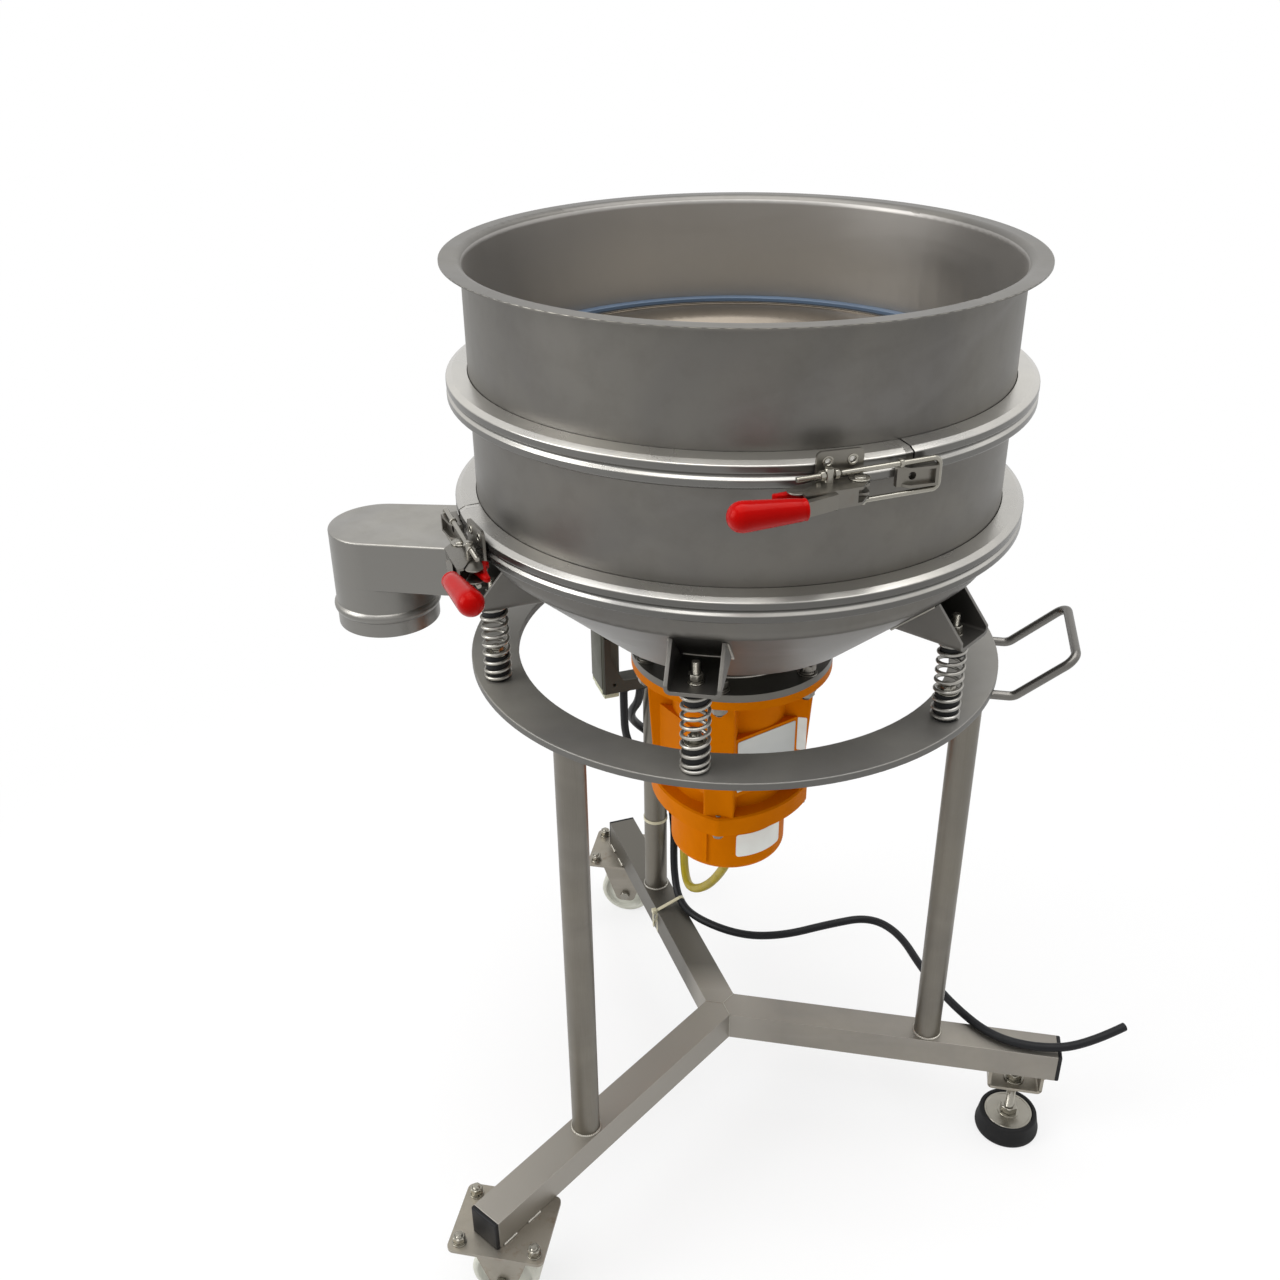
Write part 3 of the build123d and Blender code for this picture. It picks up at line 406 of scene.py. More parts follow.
def steel(name, shade, rough, grain=1100, depth=0.00004, mottle=0.5, brushed=None, metallic=0.9,
          stain=0.0, painted_light_inside=0.0, painted_light_on_arms=False, cut=0.0):
    """Stainless steel: blasted grain or brush marks, broad clouding, and smears in the gloss.

    stain adds rusty specks, inner is painted light that lightens what lies within a radius in metres,
    arms paints light on the base's front tube and shade on its rear tube, and cut paints shade
    on the faces that don't look up.
    """
    s = Shader(name, metallic=metallic)
    r, g, b = shade
    cloud = s.noise(5.5, 4, 0.55, distortion=0.6)
    fine = s.noise(46, 5, 0.6)
    smear = s.noise(3.0, 3, 0.6, s.mapped((1, 1, 3.5)), distortion=1.2)
    tint = s.mix(s.span(cloud, 0.3, 0.7), toned(shade, 0.93, 0.01), rgb(r * 1.06, g * 1.055, b * 1.04))
    tint = s.mix(s.span(smear, 0.52, 0.7, 0, mottle * 0.5), tint, toned(shade, 1.1, 0.02))
    tint = s.mix(s.span(fine, 0.45, 0.75, 0, mottle * 0.3), tint, rgb(r * 0.84, g * 0.83, b * 0.8))
    if stain:
        rust = s.span(s.noise(60, 6, 0.7), 0.56, 0.72, 0, stain)
        tint = s.mix(rust, tint, rgb(112, 82, 54))
    # Painted light: steel within the given radius is made lighter, standing in for light falling on the
    # hopper's inner wall.
    if painted_light_inside:
        radius = s.split(s.around(1, 1, 1))[0]
        tint = s.mix(s.span(radius, painted_light_inside - 0.0004, painted_light_inside, 1, 0), tint, toned(shade, 1.4, 0.02))
    # Painted light and shade: the base's front tube is made lighter and its rear tube darker, as light falls
    # on them.
    if painted_light_on_arms:
        tint = s.mix(s.span(s.axis(0), 0.04, 0.09), toned(shade, 1.1), tint)
        tint = s.mix(s.span(s.axis(1), 0.0, 0.05), tint, toned(shade, 0.74, -0.01))
    # Painted shade: faces that don't look up are made darker.
    if cut:
        upward = s.split(s.add("ShaderNodeNewGeometry").outputs["Normal"])[2]
        tint = s.mix(s.span(upward, 0.1, 0.9), toned(shade, cut), tint)
    gloss = s.span(cloud, 0.3, 0.7, rough - 0.035, rough + 0.035)
    gloss = s.math("ADD", gloss, s.span(smear, 0.5, 0.75, 0, -0.07))
    if brushed == "round":
        lines = s.noise(1.0, 4, 0.7, s.around(2400, 2400, 14))
        tint = s.mix(s.span(lines, 0.35, 0.7, 0, 0.08), tint, toned(shade, 0.8, -0.01))
        s.bump(lines, depth)
    elif brushed == "up":
        lines = s.noise(1.0, 4, 0.7, s.mapped((1500, 1500, 26)))
        tint = s.mix(s.span(lines, 0.35, 0.7, 0, 0.3), tint, toned(shade, 0.82, -0.02))
        s.bump(lines, depth)
    else:
        s.bump(s.noise(grain, 2, 0.5), depth)
    s.set("Base Color", tint)
    s.set("Roughness", gloss)
    return s.mat


def paint(name, shade, rough, peel=420, depth=0.00012, dirt=0.25, specular=0.5,
          dirt_shade=(60, 44, 20), sheen=(1, 1, 1)):
    """Enamel or moulded plastic: slight unevenness, worn and dirty patches, small relief."""
    s = Shader(name, rough, specular=specular)
    s.set("Specular Tint", (*sheen, 1.0))
    r, g, b = shade
    cloud = s.noise(9, 4, 0.6, distortion=0.8)
    dull, fresh = rgb(r * 0.95, g * 0.94, b * 0.9), rgb(min(255, r * 1.03), g * 1.04, b)
    tint = s.mix(s.span(cloud, 0.3, 0.7), dull, fresh)
    specks = s.span(s.noise(120, 6, 0.75), 0.63, 0.72, 0, dirt)
    tint = s.mix(specks, tint, rgb(*dirt_shade))
    s.set("Base Color", tint)
    s.set("Roughness", s.span(s.noise(30, 4, 0.6), 0.3, 0.7, rough - 0.05, rough + 0.08))
    s.bump(s.noise(peel, 2, 0.5), depth)
    return s.mat


def rubber(name, shade, rough, dust):
    """Black rubber or plastic with a film of dust."""
    s = Shader(name, rough, specular=0.25)
    r, g, b = shade
    film = s.span(s.noise(38, 5, 0.65), 0.5, 0.75, 0, dust)
    tint = s.mix(film, rgb(r, g, b), rgb(r + 34, g + 33, b + 30))
    s.set("Base Color", tint)
    s.set("Roughness", s.span(s.noise(25, 4, 0.6), 0.3, 0.7, rough - 0.07, rough + 0.1))
    s.bump(s.noise(700, 3, 0.6), 0.00006)
    return s.mat


def sheathed():
    """Cord sheath, yellow near the motor and on the low loop, black beside the rear leg."""
    high_from, back_from, fade = 0.359, 0.12, 0.002
    s = Shader("cord_two", 0.42, specular=0.35)
    high_up = s.span(s.axis(2), high_from, high_from + fade)
    far_back = s.span(s.axis(1), back_from, back_from + fade)
    worn = s.span(s.noise(40, 5, 0.65), 0.5, 0.75, 0, 0.45)
    yellow = s.mix(worn, rgb(158, 140, 18), rgb(112, 98, 22))
    black = s.mix(worn, rgb(17, 18, 20), rgb(46, 46, 46))
    s.set("Base Color", s.mix(s.math("MULTIPLY", high_up, far_back), yellow, black))
    s.set("Roughness", s.span(s.noise(25, 4, 0.6), 0.3, 0.7, 0.36, 0.52))
    s.bump(s.noise(700, 3, 0.6), 0.00005)
    return s.mat


def woven():
    """Fine wire cloth: two crossed rows of wires, pale and slightly golden."""
    pitch = 0.0009
    s = Shader("woven_wire", 0.34, metallic=0.9)
    across = s.math("SINE", s.math("MULTIPLY", s.axis(0), 2 * math.pi / pitch))
    along = s.math("SINE", s.math("MULTIPLY", s.axis(1), 2 * math.pi / pitch))
    weave = s.math("ADD", s.math("MULTIPLY", across, along), s.math("ABSOLUTE", across))
    cloud = s.noise(4, 3, 0.5, distortion=0.5)
    tint = s.mix(s.span(cloud, 0.35, 0.7), rgb(180, 171, 156), rgb(216, 210, 198))
    tint = s.mix(s.span(weave, -1, 0.2, 0.5, 0), tint, rgb(92, 80, 66))
    s.set("Base Color", tint)
    s.set("Roughness", s.span(cloud, 0.3, 0.7, 0.28, 0.4))
    s.bump(weave, 0.00008)
    return s.mat


blasted = steel("blasted_steel", (106, 104, 100), 0.42, mottle=0.9)
# Painted light on the hopper's inner wall.
hopper_steel = steel("hopper_steel", (106, 104, 100), 0.42, mottle=0.9, painted_light_inside=(BODY_R - 0.5) / 1000)
# cut paints shade on the faces that don't look up.
ring_steel = steel("ring_steel", (150, 148, 143), 0.38, grain=900, mottle=0.9, cut=0.8)
# Painted light: a lighter copy of the blasted steel for the ring plate, which lies in the hopper's shade.
flat_steel_painted_light = steel("flat_steel_painted_light", (143, 141, 136), 0.5, metallic=0.7, cut=0.68)
# Also used for the thin bright ring along the rim, a painted highlight.
weld_and_highlight_steel = steel("weld_and_highlight_steel", (168, 165, 157), 0.32, grain=400, depth=0.00006, stain=0.15)
plated_bright = steel("plated_bright", (128, 125, 118), 0.34, grain=500, depth=0.00006, stain=0.2)
bar_steel = steel("bar_steel", (110, 108, 104), 0.34, grain=700, depth=0.00002)
box_steel = steel("box_steel", (68, 66, 60), 0.48, grain=700, depth=0.00002)
tube_steel = steel("tube_steel", (118, 114, 106), 0.42, brushed="up", depth=0.00003)
# Painted light on the front tube and painted shade on the rear tube.
base_steel = steel("base_steel", (138, 134, 127), 0.45, grain=1300, painted_light_on_arms=True)
# cut paints shade on the bands' faces that don't look up.
band_steel = steel("band_steel", (196, 194, 189), 0.28, brushed="round", depth=0.0000012, mottle=0.3,
                   cut=0.54)
# Painted shade: a darker copy of the band steel for the lower band.
band_painted_shade = steel("band_painted_shade", (188, 186, 181), 0.28, brushed="round", depth=0.0000012, mottle=0.3,
                  cut=0.5)
screen_steel = steel("screen_steel", (104, 97, 88), 0.2, brushed="round", depth=0.000004)
wire_steel = steel("wire_steel", (160, 158, 152), 0.34, grain=500, depth=0.00005)
bright_steel = steel("bright_steel", (150, 147, 138), 0.24, grain=600, depth=0.00004, mottle=0.8)
pressed_steel = steel("pressed_steel", (122, 119, 112), 0.3, grain=700, depth=0.00005, stain=0.25)
plated_steel = steel("plated_steel", (146, 141, 131), 0.4, grain=500, depth=0.0001, mottle=0.9,
                     stain=0.45)
dark_steel = steel("dark_steel", (104, 102, 97), 0.45, grain=900)
orange = paint("orange_enamel", (200, 109, 1), 0.45, specular=0.02, sheen=(1.0, 0.5, 0.06))
red = paint("red_vinyl", (156, 4, 4), 0.2, peel=160, depth=0.00008, dirt=0.05, specular=0.26,
            sheen=(1.0, 0.15, 0.12))
seal_blue = paint("blue_silicone", (74, 92, 118), 0.42, dirt=0.1, dirt_shade=(60, 66, 74))
nylon = paint("cast_nylon", (204, 204, 200), 0.42, dirt=0.5, dirt_shade=(120, 112, 98))
grey_case = paint("grey_case", (66, 66, 58), 0.5, peel=900, depth=0.00008, dirt_shade=(56, 54, 46),
                  specular=0.3)
pale_case = paint("pale_case", (176, 176, 156), 0.5, peel=900, depth=0.00008, dirt_shade=(110, 104, 88))
label_white = paint("label_white", (230, 232, 236), 0.35, peel=300, depth=0.00002, dirt=0.12,
                    dirt_shade=(180, 176, 166))
label_silver = steel("label_silver", (176, 178, 176), 0.3, grain=300, depth=0.00003, metallic=0.7)
tie_cream = paint("tie_cream", (196, 190, 170), 0.4, peel=500, depth=0.00004, dirt=0.15,
                  dirt_shade=(150, 138, 108))
black_rubber = rubber("black_rubber", (14, 14, 15), 0.6, 0.1)
black_plastic = rubber("black_plastic", (14, 14, 16), 0.5, 0.08)
cord_black = rubber("cord_black", (13, 14, 17), 0.5, 0.08)
cord_two = sheathed()
mesh_steel = woven()

FINISHES = [
    (blasted, ["mid_deck", "bottom_pan", "spring_brackets"]), (hopper_steel, ["upper_hopper"]),
    (ring_steel, ["discharge_duct", "outlet_spigot"]), (flat_steel_painted_light, ["ring_plate"]),
    (tube_steel, ["legs"]), (base_steel, ["base_frame"]), (bar_steel, ["push_handle"]),
    (dark_steel, ["adapter_plate"]), (band_steel, ["upper_band"]), (band_painted_shade, ["lower_band"]),
    (screen_steel, ["screen_ring"]), (mesh_steel, ["screen_mesh"]), (seal_blue, ["screen_seal"]),
    (orange, ["motor_body", "motor_cover"]), (wire_steel, ["coil_springs"]),
    (bright_steel, ["spring_studs", "foot_stud", "foot_disc", "caster_axles"]),
    (pressed_steel, ["clamp_bases"]), (plated_steel, ["caster_forks", "foot_bracket"]),
    (box_steel, ["box_bracket"]), (black_rubber, ["spring_buffers", "foot_pad"]),
    (black_plastic, ["end_caps"]), (nylon, ["front_wheel", "rear_wheel"]),
    (grey_case, ["switch_box"]), (cord_black, ["supply_cord", "motor_cord"]),
]
for clamp, *_ in CLAMPS:
    FINISHES += [(pressed_steel, [clamp + "_handle"]), (bright_steel, [clamp + "_rods"]),
                 (red, [clamp + "_grip"])]


def soften(obj, edge):
    """Rounded edges and smooth shading; the edge's width is in metres."""
    weld = obj.modifiers.new("weld", "WELD")
    weld.merge_threshold = 0.000002
    bevel = obj.modifiers.new("bevel", "BEVEL")
    bevel.width = edge
    bevel.segments = 2
    bevel.limit_method = "ANGLE"
    bevel.angle_limit = math.radians(40)
    normals = obj.modifiers.new("normals", "WEIGHTED_NORMAL")
    normals.keep_sharp = True


def dress(name, material):
    """Material, rounded edges and smooth shading for a piece of the frame."""
    obj = nodes[name]
    obj.data.materials.clear()
    obj.data.materials.append(material)
    for f in obj.data.polygons:
        f.use_smooth = True
    soften(obj, 0.0005)


for material, names in FINISHES:
    for name in names:
        dress(name, material)


# Springs and their fastenings

def coil_path(r, wire, z0, z1, turns, steps=28):
    """Points of a compression spring whose end turns lie closed."""
    n = int(turns * steps)
    share = [min(1.0, max(0.0, (min(k, n - k) / steps - 0.7) / 0.6)) for k in range(n)]
    dead = 1.03 * wire
    more = (z1 - z0 - dead * n / steps) / (sum(share) / steps)
    z = z0
    points = []
    for k in range(n + 1):
        a = 2 * math.pi * k / steps
        points.append(Vector((r * math.cos(a), r * math.sin(a), z)))
        if k < n:
            z += (dead + more * share[k]) / steps
    return points


def springs():
    """Coils, studs with their nuts, and the bolts' heads under the ring plate."""
    coil_r, wire, turns, twist = 13.2, 3.9, 9.6, 47
    stud_top = BRACKET_TOP + 22
    buffer_top = RING_TOP + 30
    washer, split, wide, head = 1.5, 1.7, 11.5, 5.3
    coils, studs = Piece("spring_wires"), Piece("spring_fastenings")
    for i, az in enumerate(SPRINGS):
        m = stand(SPRING_AT, az) @ Matrix.Rotation(math.radians(twist * i), 4, "Z")
        path = coil_path(coil_r, wire, RING_TOP + 2, BRACKET_LOW - 2, turns)
        coils.sweep([m @ p for p in path], wire / 2000, 10)
        studs.thread(m, M8.r, BRACKET_LOW, stud_top, M8.pitch)
        studs.fasten(m, M8, BRACKET_TOP, washer, split)
        studs.washer(m, wide, M8.r + 0.1, buffer_top, washer)
        studs.nut(m, M8.flats, buffer_top + washer, M8.nut, M8.r)
        studs.thread(m, M8.r, buffer_top, buffer_top + 10, M8.pitch)
        studs.washer(m, M8.washer, 0.5, RING_LOW - washer, washer)
        studs.nut(m, M8.flats, RING_LOW - washer - head, head)
    coils.done(wire_steel, replaces=["coil_springs"])
    studs.done(bright_steel, replaces=["spring_studs"])


# Latch clamps: a frame at each main pin, x along the handle, y outwards

PIN_AT = 297.8
PIN_OUT = 14  # how far out the main pin and the rods' cross pin lie
TRUNNION = Vector((-27, PIN_OUT, 0))
HOOK = Vector((78, 2, 0))  # far end of the rods
ROD_Z = 14
CHEEK_Z = 5.5  # inner faces of the handle's two plates
GRIP_OUT = 45.5


def latch(split, joint, side):
    """Frame of one latch; on the other side of its split it is mirrored."""
    ahead, drop = 10.5, 8
    azimuth = split - ahead * side
    m = spot(polar(PIN_AT, azimuth, joint - drop), (0, 0, 1), polar(1, azimuth - 90))
    return m @ Matrix.Diagonal((-1, 1, 1, 1)) if side > 0 else m


def grip(name, m):
    """Dipped round sleeve that widens to a domed end, with a soft lip at its mouth."""
    root, length, dome = 58, 67, 14.5
    mouth_r, end_r, seg = 9.2, 14.0, 44
    sleeve = Piece(name + "_grip_sleeve")
    rows = []
    for d in (0.0, 0.3, 1.0, 2.2, 3.4, 5, 14, 26, 38, 48, 53, 56, 58.6, 60.8, 62.8, 64.5, 65.8, 66.6, 66.95):
        full = mouth_r + (end_r - mouth_r) * d / length
        r = full - 0.9 * max(0.0, 1 - d) ** 2 - 0.5 * max(0.0, 1 - abs(d - 3.4) / 1.6)
        r -= full * (1 - math.sqrt(max(0.0, 1 - max(0.0, (d - length + dome) / dome) ** 2)))
        rows.append([m @ Vector((-root - d, GRIP_OUT + r * math.cos(a), r * math.sin(a)))
                     for a in angles(seg)])
    sleeve.skin(rows)
    sleeve.done(red, body=name, replaces=[name + "_grip"], sharp=60)


def lever(name, m):
    """Small dipped locking lever on a pin between the handle's two cheeks."""
    key_half, cheek_t = 2.2, 1.3
    key = [(-34.5, 21), (-38, 23), (-42, 21), (-58, 19.2), (-73, 17.8), (-76.5, 15.2), (-75, 12),
           (-62, 10.2), (-51, 8), (-45, 2), (-41, 1.2), (-38, 3), (-35, 12)]
    arc = [math.radians(a) for a in range(90, 261, 17)]
    cheek = [(-28, 8.2), (-34, 8), (-44, 22), (-56, 30.5)]
    cheek += [(-57 + 9 * math.cos(a), 21.5 + 9 * math.sin(a)) for a in arc]
    cheek += [(-47, 10), (-38, 6.4), (-28, 6)]
    parts = [("lever", key, -key_half, key_half, red),
             ("cheek_one", cheek, CHEEK_Z, CHEEK_Z + cheek_t, pressed_steel),
             ("cheek_two", cheek, -CHEEK_Z - cheek_t, -CHEEK_Z, pressed_steel)]
    for part, outline, z0, z1, finish in parts:
        flat = Piece(name + "_lock_" + part)
        flat.plate(m, outline, z0, z1)
        bmesh.ops.bevel(flat.bm, geom=list(flat.bm.edges), offset=0.0004, segments=2, affect="EDGES",
                        profile=0.5)
        flat.done(finish, body=name, sharp=50)
    pin = Piece(name + "_lock_pin")
    pin.lathe(m @ Matrix.Translation((-38, 19, 0)), [(2.0, -9.2), (2.0, 9.2)], 20)
    pin.done(bright_steel, body=name)


def latch_rods(name, m):
    """Two rods with threaded tails and nuts, joined at the catch by a bent end."""
    bend, start, tail, last = 6, 11, 30, 11.5
    run = HOOK - TRUNNION
    reach = run.length
    rods = Piece(name + "_latch")
    slope = m @ Matrix.Translation(TRUNNION) @ Matrix.Rotation(math.atan2(run.y, run.x), 4, "Z")
    corner = [(reach - bend + bend * math.sin(a), ROD_Z - bend + bend * math.cos(a))
              for a in (math.pi / 16 * i for i in range(9))]
    way = [(start, -ROD_Z)] + [(x, -z) for x, z in corner] + corner[::-1] + [(start, ROD_Z)]
    rods.sweep([slope @ Vector((x, 0, z)) for x, z in way], M5.r / 1000, 14)
    for z, stop in ((-ROD_Z, 31), (ROD_Z, 66)):
        along = slope @ Matrix.Translation((0, 0, z)) @ Matrix.Rotation(math.pi / 2, 4, "Y")
        rods.thread(along, M5.r, -tail, last, M5.pitch, 14)
        rods.nut(along, M5.flats, 4.5, M5.nut, M5.r, 36)
        rods.nut(along, M5.flats, -4.5 - M5.nut, M5.nut, M5.r, 36)
        rods.nut(along, 7, stop, 3.6, M5.r, 36)
    cross_pin = [(2.6, -18), (3.6, -17.6), (4, -17), (4, 19), (3.6, 19.8), (2.6, 20.2)]
    rods.lathe(m @ Matrix.Translation(TRUNNION), cross_pin, 28)
    rods.done(bright_steel, body=name.replace("_clamp", "_rods"), replaces=[name + "_rods"])


def latch_fixings(rivets, m):
    """Rivet heads on the main pin, and eyelets round the base's two holes."""
    head = [(9, 8.05), (9.2, 8.3), (9.2, 9), (8.9, 9.3), (5.7, 9.3), (5.4, 10.2), (4.4, 10.9), (1.6, 11)]
    eyelet = [(2.7, -0.3), (4.9, -0.3), (4.9, 0.5), (4.3, 0.9), (3.1, 0.8), (2.7, 0.3)]
    for flip in (1, -1):
        pin = m @ Matrix.Translation((0, PIN_OUT, 0)) @ Matrix.Diagonal((1, 1, flip, 1))
        rivets.lathe(pin, head, 36)
    for x in (-24, -2):
        hole = m @ Matrix.Translation((x, 3, 21)) @ Matrix.Rotation(-math.pi / 2, 4, "X")
        rivets.lathe(hole, eyelet, 28, loop=True)


def band_tongues():
    """Short plates under the bands that close their splits but for a fine slit."""
    thick = 1.2
    profile = [(276.5, -0.6), (290.5, -1.6), (296.6, -5.0), (296.6, -10.6), (294.1, -14.3), (296.6, -18.0),
               (296.6, -23.6), (290.5, -27.0), (276.5, -28.0)]  # radius, and height over the band's top
    back = [(r - thick, z) for r, z in profile[::-1]]
    tongues = Piece("band_tongues")
    for _, split, joint, _ in CLAMPS:
        top = joint + BAND_HALF
        rows = []
        for a in (-1.7, -0.8, 0.0, 0.6):
            m = stand(0, split + a)
            rows.append([m @ Vector((r, 0, top + z)) for r, z in profile + back])
        tongues.skin(rows)
    tongues.done(band_steel, sharp=50)


def clamps():
    rivets = Piece("latch_rivets")
    for name, split, joint, side in CLAMPS:
        m = latch(split, joint, side)
        grip(name, m)
        lever(name, m)
        latch_rods(name, m)
        latch_fixings(rivets, m)
    rivets.done(bright_steel)


# Castors and levelling foot

def axle_frame(az):
    """Frame in the middle of a castor's wheel, z along the axle."""
    return spot(polar(CASTOR_AT, az, WHEEL_R), polar(1, AXLE_AZ), (0, 0, 1))


def wheel(name, az):
    m = axle_frame(az)
    side = [(5.2, -15.2), (12.4, -15.8), (13.2, -15.2), (14.6, -11.4), (16, -10.4), (29, -10.2), (31, -11),
            (32.6, -15.4), (33.6, -16), (36.6, -16), (38.6, -15.2), (39.7, -13.4), (40, -11)]
    race = [(4.6, 14.6), (11, 14.6), (11, 15.9), (9.8, 16.2), (7.4, 15.6), (6.6, 16.4), (4.6, 16.4)]
    tyre, bearing = Piece(name + "_tyre"), Piece(name + "_bearing")
    tyre.lathe(m, side + [(r, -z) for r, z in side[::-1]], 72, loop=True)
    tyre.done(nylon, body=name, replaces=[name], sharp=50)
    for flip in (1, -1):
        bearing.lathe(m @ Matrix.Diagonal((1, 1, flip, 1)), race, 36, loop=True)
    bearing.done(dark_steel, body=name)


def castors():
    """The plates' bolts, one without its nut where the tube hides it, and the axles."""
    across, along, plate_low = 44, 33, 107
    bolt_head, axle_head, axle_nut = 5.4, 5.8, 5.3
    bolts, axles = Piece("castor_bolts"), Piece("castor_axle_bolts")
    for az, side in ((FRONT_AZ, 1), (REAR_AZ, -1)):
        m = spot(polar(CASTOR_AT, az), (0, 0, 1), polar(1, FOOT_AZ))
        for x, y in ((across, along), (-across, along), (across, -along), (-across, -along)):
            turn = Matrix.Rotation(0.2 * x + y, 4, "Z")
            corner = m @ Matrix.Translation((x, y, 0)) @ turn
            bolts.nut(corner, M8.flats, plate_low - bolt_head, bolt_head)
            if (x, y) != (across, side * along):
                bolts.fasten(corner, M8, BASE_LOW, 1.6, 1.8)
                bolts.thread(corner, M8.r, BASE_LOW, BASE_LOW + 12.5, M8.pitch)
        axle = axle_frame(az)
        axles.lathe(axle, [(M8.r, -26), (M8.r, 26)], 24)
        axles.thread(axle, M8.r, 24.6, 30.5, M8.pitch)
        axles.nut(axle, M8.flats, 24.7, axle_nut, M8.r)
        axles.nut(axle, M8.flats, -24.6 - axle_head, axle_head)
    bolts.done(bright_steel)
    axles.done(bright_steel, replaces=["caster_axles"])


def levelling_foot():
    """Screw with two nuts, rubber foot and the disc on it."""
    disc_top, bracket_top, screw_top = 27, 87, 109
    m = stand(FOOT_AT, FOOT_AZ)
    screw = Piece("foot_screw")
    screw.thread(m, M12.r, disc_top, screw_top, M12.pitch, 24)
    screw.washer(m, 14.5, M12.r + 0.1, disc_top, 1.4)
    screw.nut(m, 20, disc_top + 1.4, 10, M12.r)
    screw.washer(m, M12.washer, M12.r + 0.1, bracket_top, 1.5)
    screw.nut(m, M12.flats, bracket_top + 1.5, M12.nut, M12.r)
    screw.done(bright_steel, replaces=["foot_stud"])
    pad = Piece("foot_rubber")
    pad.lathe(m, [(34, 0), (38.4, 0), (40.4, 1.2), (41, 3), (41, 6.6), (40.4, 8), (37.6, 23.4), (37.2, 26),
                  (36.2, 27.8), (34.8, 28.5), (33.2, 28.5), (32.2, 27.8), (31.4, 25.2)], 72)
    pad.done(black_rubber, replaces=["foot_pad"], sharp=50)
    disc = Piece("foot_plate")
    disc.lathe(m, [(31, 25), (31, 26.6), (30.5, 27), (28.4, 27), (27.8, 26.5), (17, 26.5), (15.5, 27)], 64)
    disc.done(bright_steel, replaces=["foot_disc"])


# Welds, a painted highlight along the rim's edge, and the duct's sleeve

def circle(m, r, z, n=72):
    turns = [2 * math.pi * i / n for i in range(n + 1)]
    return [m @ Vector((r * math.cos(a), r * math.sin(a), z)) for a in turns]


def line(m, p, q):
    return [m @ Vector(p), m @ Vector(q)]


def on_cone(m, y, z, out):
    """Point a little outside the pan's cone."""
    r = CONE_R + (z - CONE_LOW) * (BODY_R - CONE_R) / (SEAM - CONE_LOW) + out
    return m @ Vector((math.sqrt(r * r - y * y), y, z))


def bracket_welds(beads, az):
    """Beads where a bracket's cheeks and base meet the cone."""
    m = stand(0, az)
    side, base_z = 27.4, BRACKET_TOP + 0.6
    for y in (-side, side):
        beads.weld([on_cone(m, y, z, 1.2) for z in range(805, 846, 4)], 1.5)
    beads.weld([on_cone(m, y, base_z, 1.0) for y in range(-20, 21, 4)], 1.0)


def base_welds(beads):
    """Beads at the legs, the joint of the tubes, the castors' plates and the foot's bracket."""
    joint_r = 23.3
    for az in (FOOT_AZ, FRONT_AZ, REAR_AZ):
        leg = stand(LEG_AT, az)
        beads.weld(circle(leg, LEG_R + 0.8, BASE_TOP + 0.5), 1.5)
        beads.weld(circle(leg, LEG_R + 0.5, RING_LOW - 0.6), 1.2)
        middle = stand(0, az - 60)
        beads.weld(line(middle, (0, 0, BASE_TOP), (joint_r, 0, BASE_TOP)), 0.7)
        beads.weld(line(middle, (joint_r, 0, BASE_TOP - 1), (joint_r, 0, BASE_LOW + 1)), 1.0)
    low = BASE_LOW + 0.6
    side = TUBE / 2 + 0.6
    for az in (FRONT_AZ, REAR_AZ):
        arm = stand(0, az)
        for y in (-side, side):
            for x in (370, 408):
                beads.weld(line(arm, (x, y, low), (x + 20, y, low)), 2.0)
    foot = stand(FOOT_AT, FOOT_AZ)
    low = BASE_LOW - 0.6
    for x in (-34.9, 34.9):
        beads.weld(line(foot, (x, -19, low), (x, 19, low)), 1.5)


def welds():
    beads = Piece("weld_beads_and_rim_highlight")
    base_welds(beads)
    grab = stand(0, FOOT_AZ)
    low = RING_LOW - 0.8
    for y in (-65.4, -55.8, 55.8, 65.4):
        beads.weld(line(grab, (279, y, low), (288, y, low)), 1.3)
    for az in SPRINGS:
        bracket_welds(beads, az)
    rim_r, pedestal_r = 295.0, 77.6
    # Painted highlight: a thin bright ring along the rim's outer edge stands in for the glint on that edge.
    beads.sweep(circle(stand(0, 0), rim_r, RIM_Z - 0.55, 240), 0.0005, 8)
    beads.weld(circle(stand(0, 0), pedestal_r, ADAPTER_TOP + 0.6, 120), 1.8)
    beads.done(weld_and_highlight_steel)
    sleeve = Piece("duct_sleeve")
    section = [(57.4, 773), (57.98, 774), (57.98, 781), (57.4, 782)]
    sleeve.lathe(stand(DUCT_AT, DUCT_AZ), section, 90, loop=True)
    sleeve.done(ring_steel)


# Motor fastenings, labels, glands and cable ties

def rounded(x0, x1, y0, y1, r, n=5):
    """Outline of a rectangle with round corners."""
    out = []
    right, left, top, low = x1 - r, x0 + r, y1 - r, y0 + r
    for k, (x, y) in enumerate(((right, top), (left, top), (left, low), (right, low))):
        for i in range(n + 1):
            a = math.pi / 2 * (k + i / n)
            out.append((x + r * math.cos(a), y + r * math.sin(a)))
    return out


def curved_label(paper, r, az0, az1, z0, z1, corner, thick):
    """Thin sheet with round corners that lies on a cylinder about the sieve's axis."""
    length = math.radians(az1 - az0) * r
    near = [corner * (1 - math.cos(math.radians(15 * i))) for i in range(7)]
    middle = [corner + (length - 2 * corner) * i / 20 for i in range(1, 20)]
    rows = []
    m = stand(0, 0)
    for s in near + middle + [length - d for d in near[::-1]]:
        d = min(s, length - s, corner)
        cut = corner - math.sqrt(max(0.0, corner ** 2 - (corner - d) ** 2))
        out = polar(1, az0 + math.degrees(s / r))
        low, high = z0 + cut, z1 - cut
        rows.append([m @ (out * q + Vector((0, 0, z)))
                     for q, z in ((r, low), (r + thick, low), (r + thick, high), (r, high))])
    paper.skin(rows)


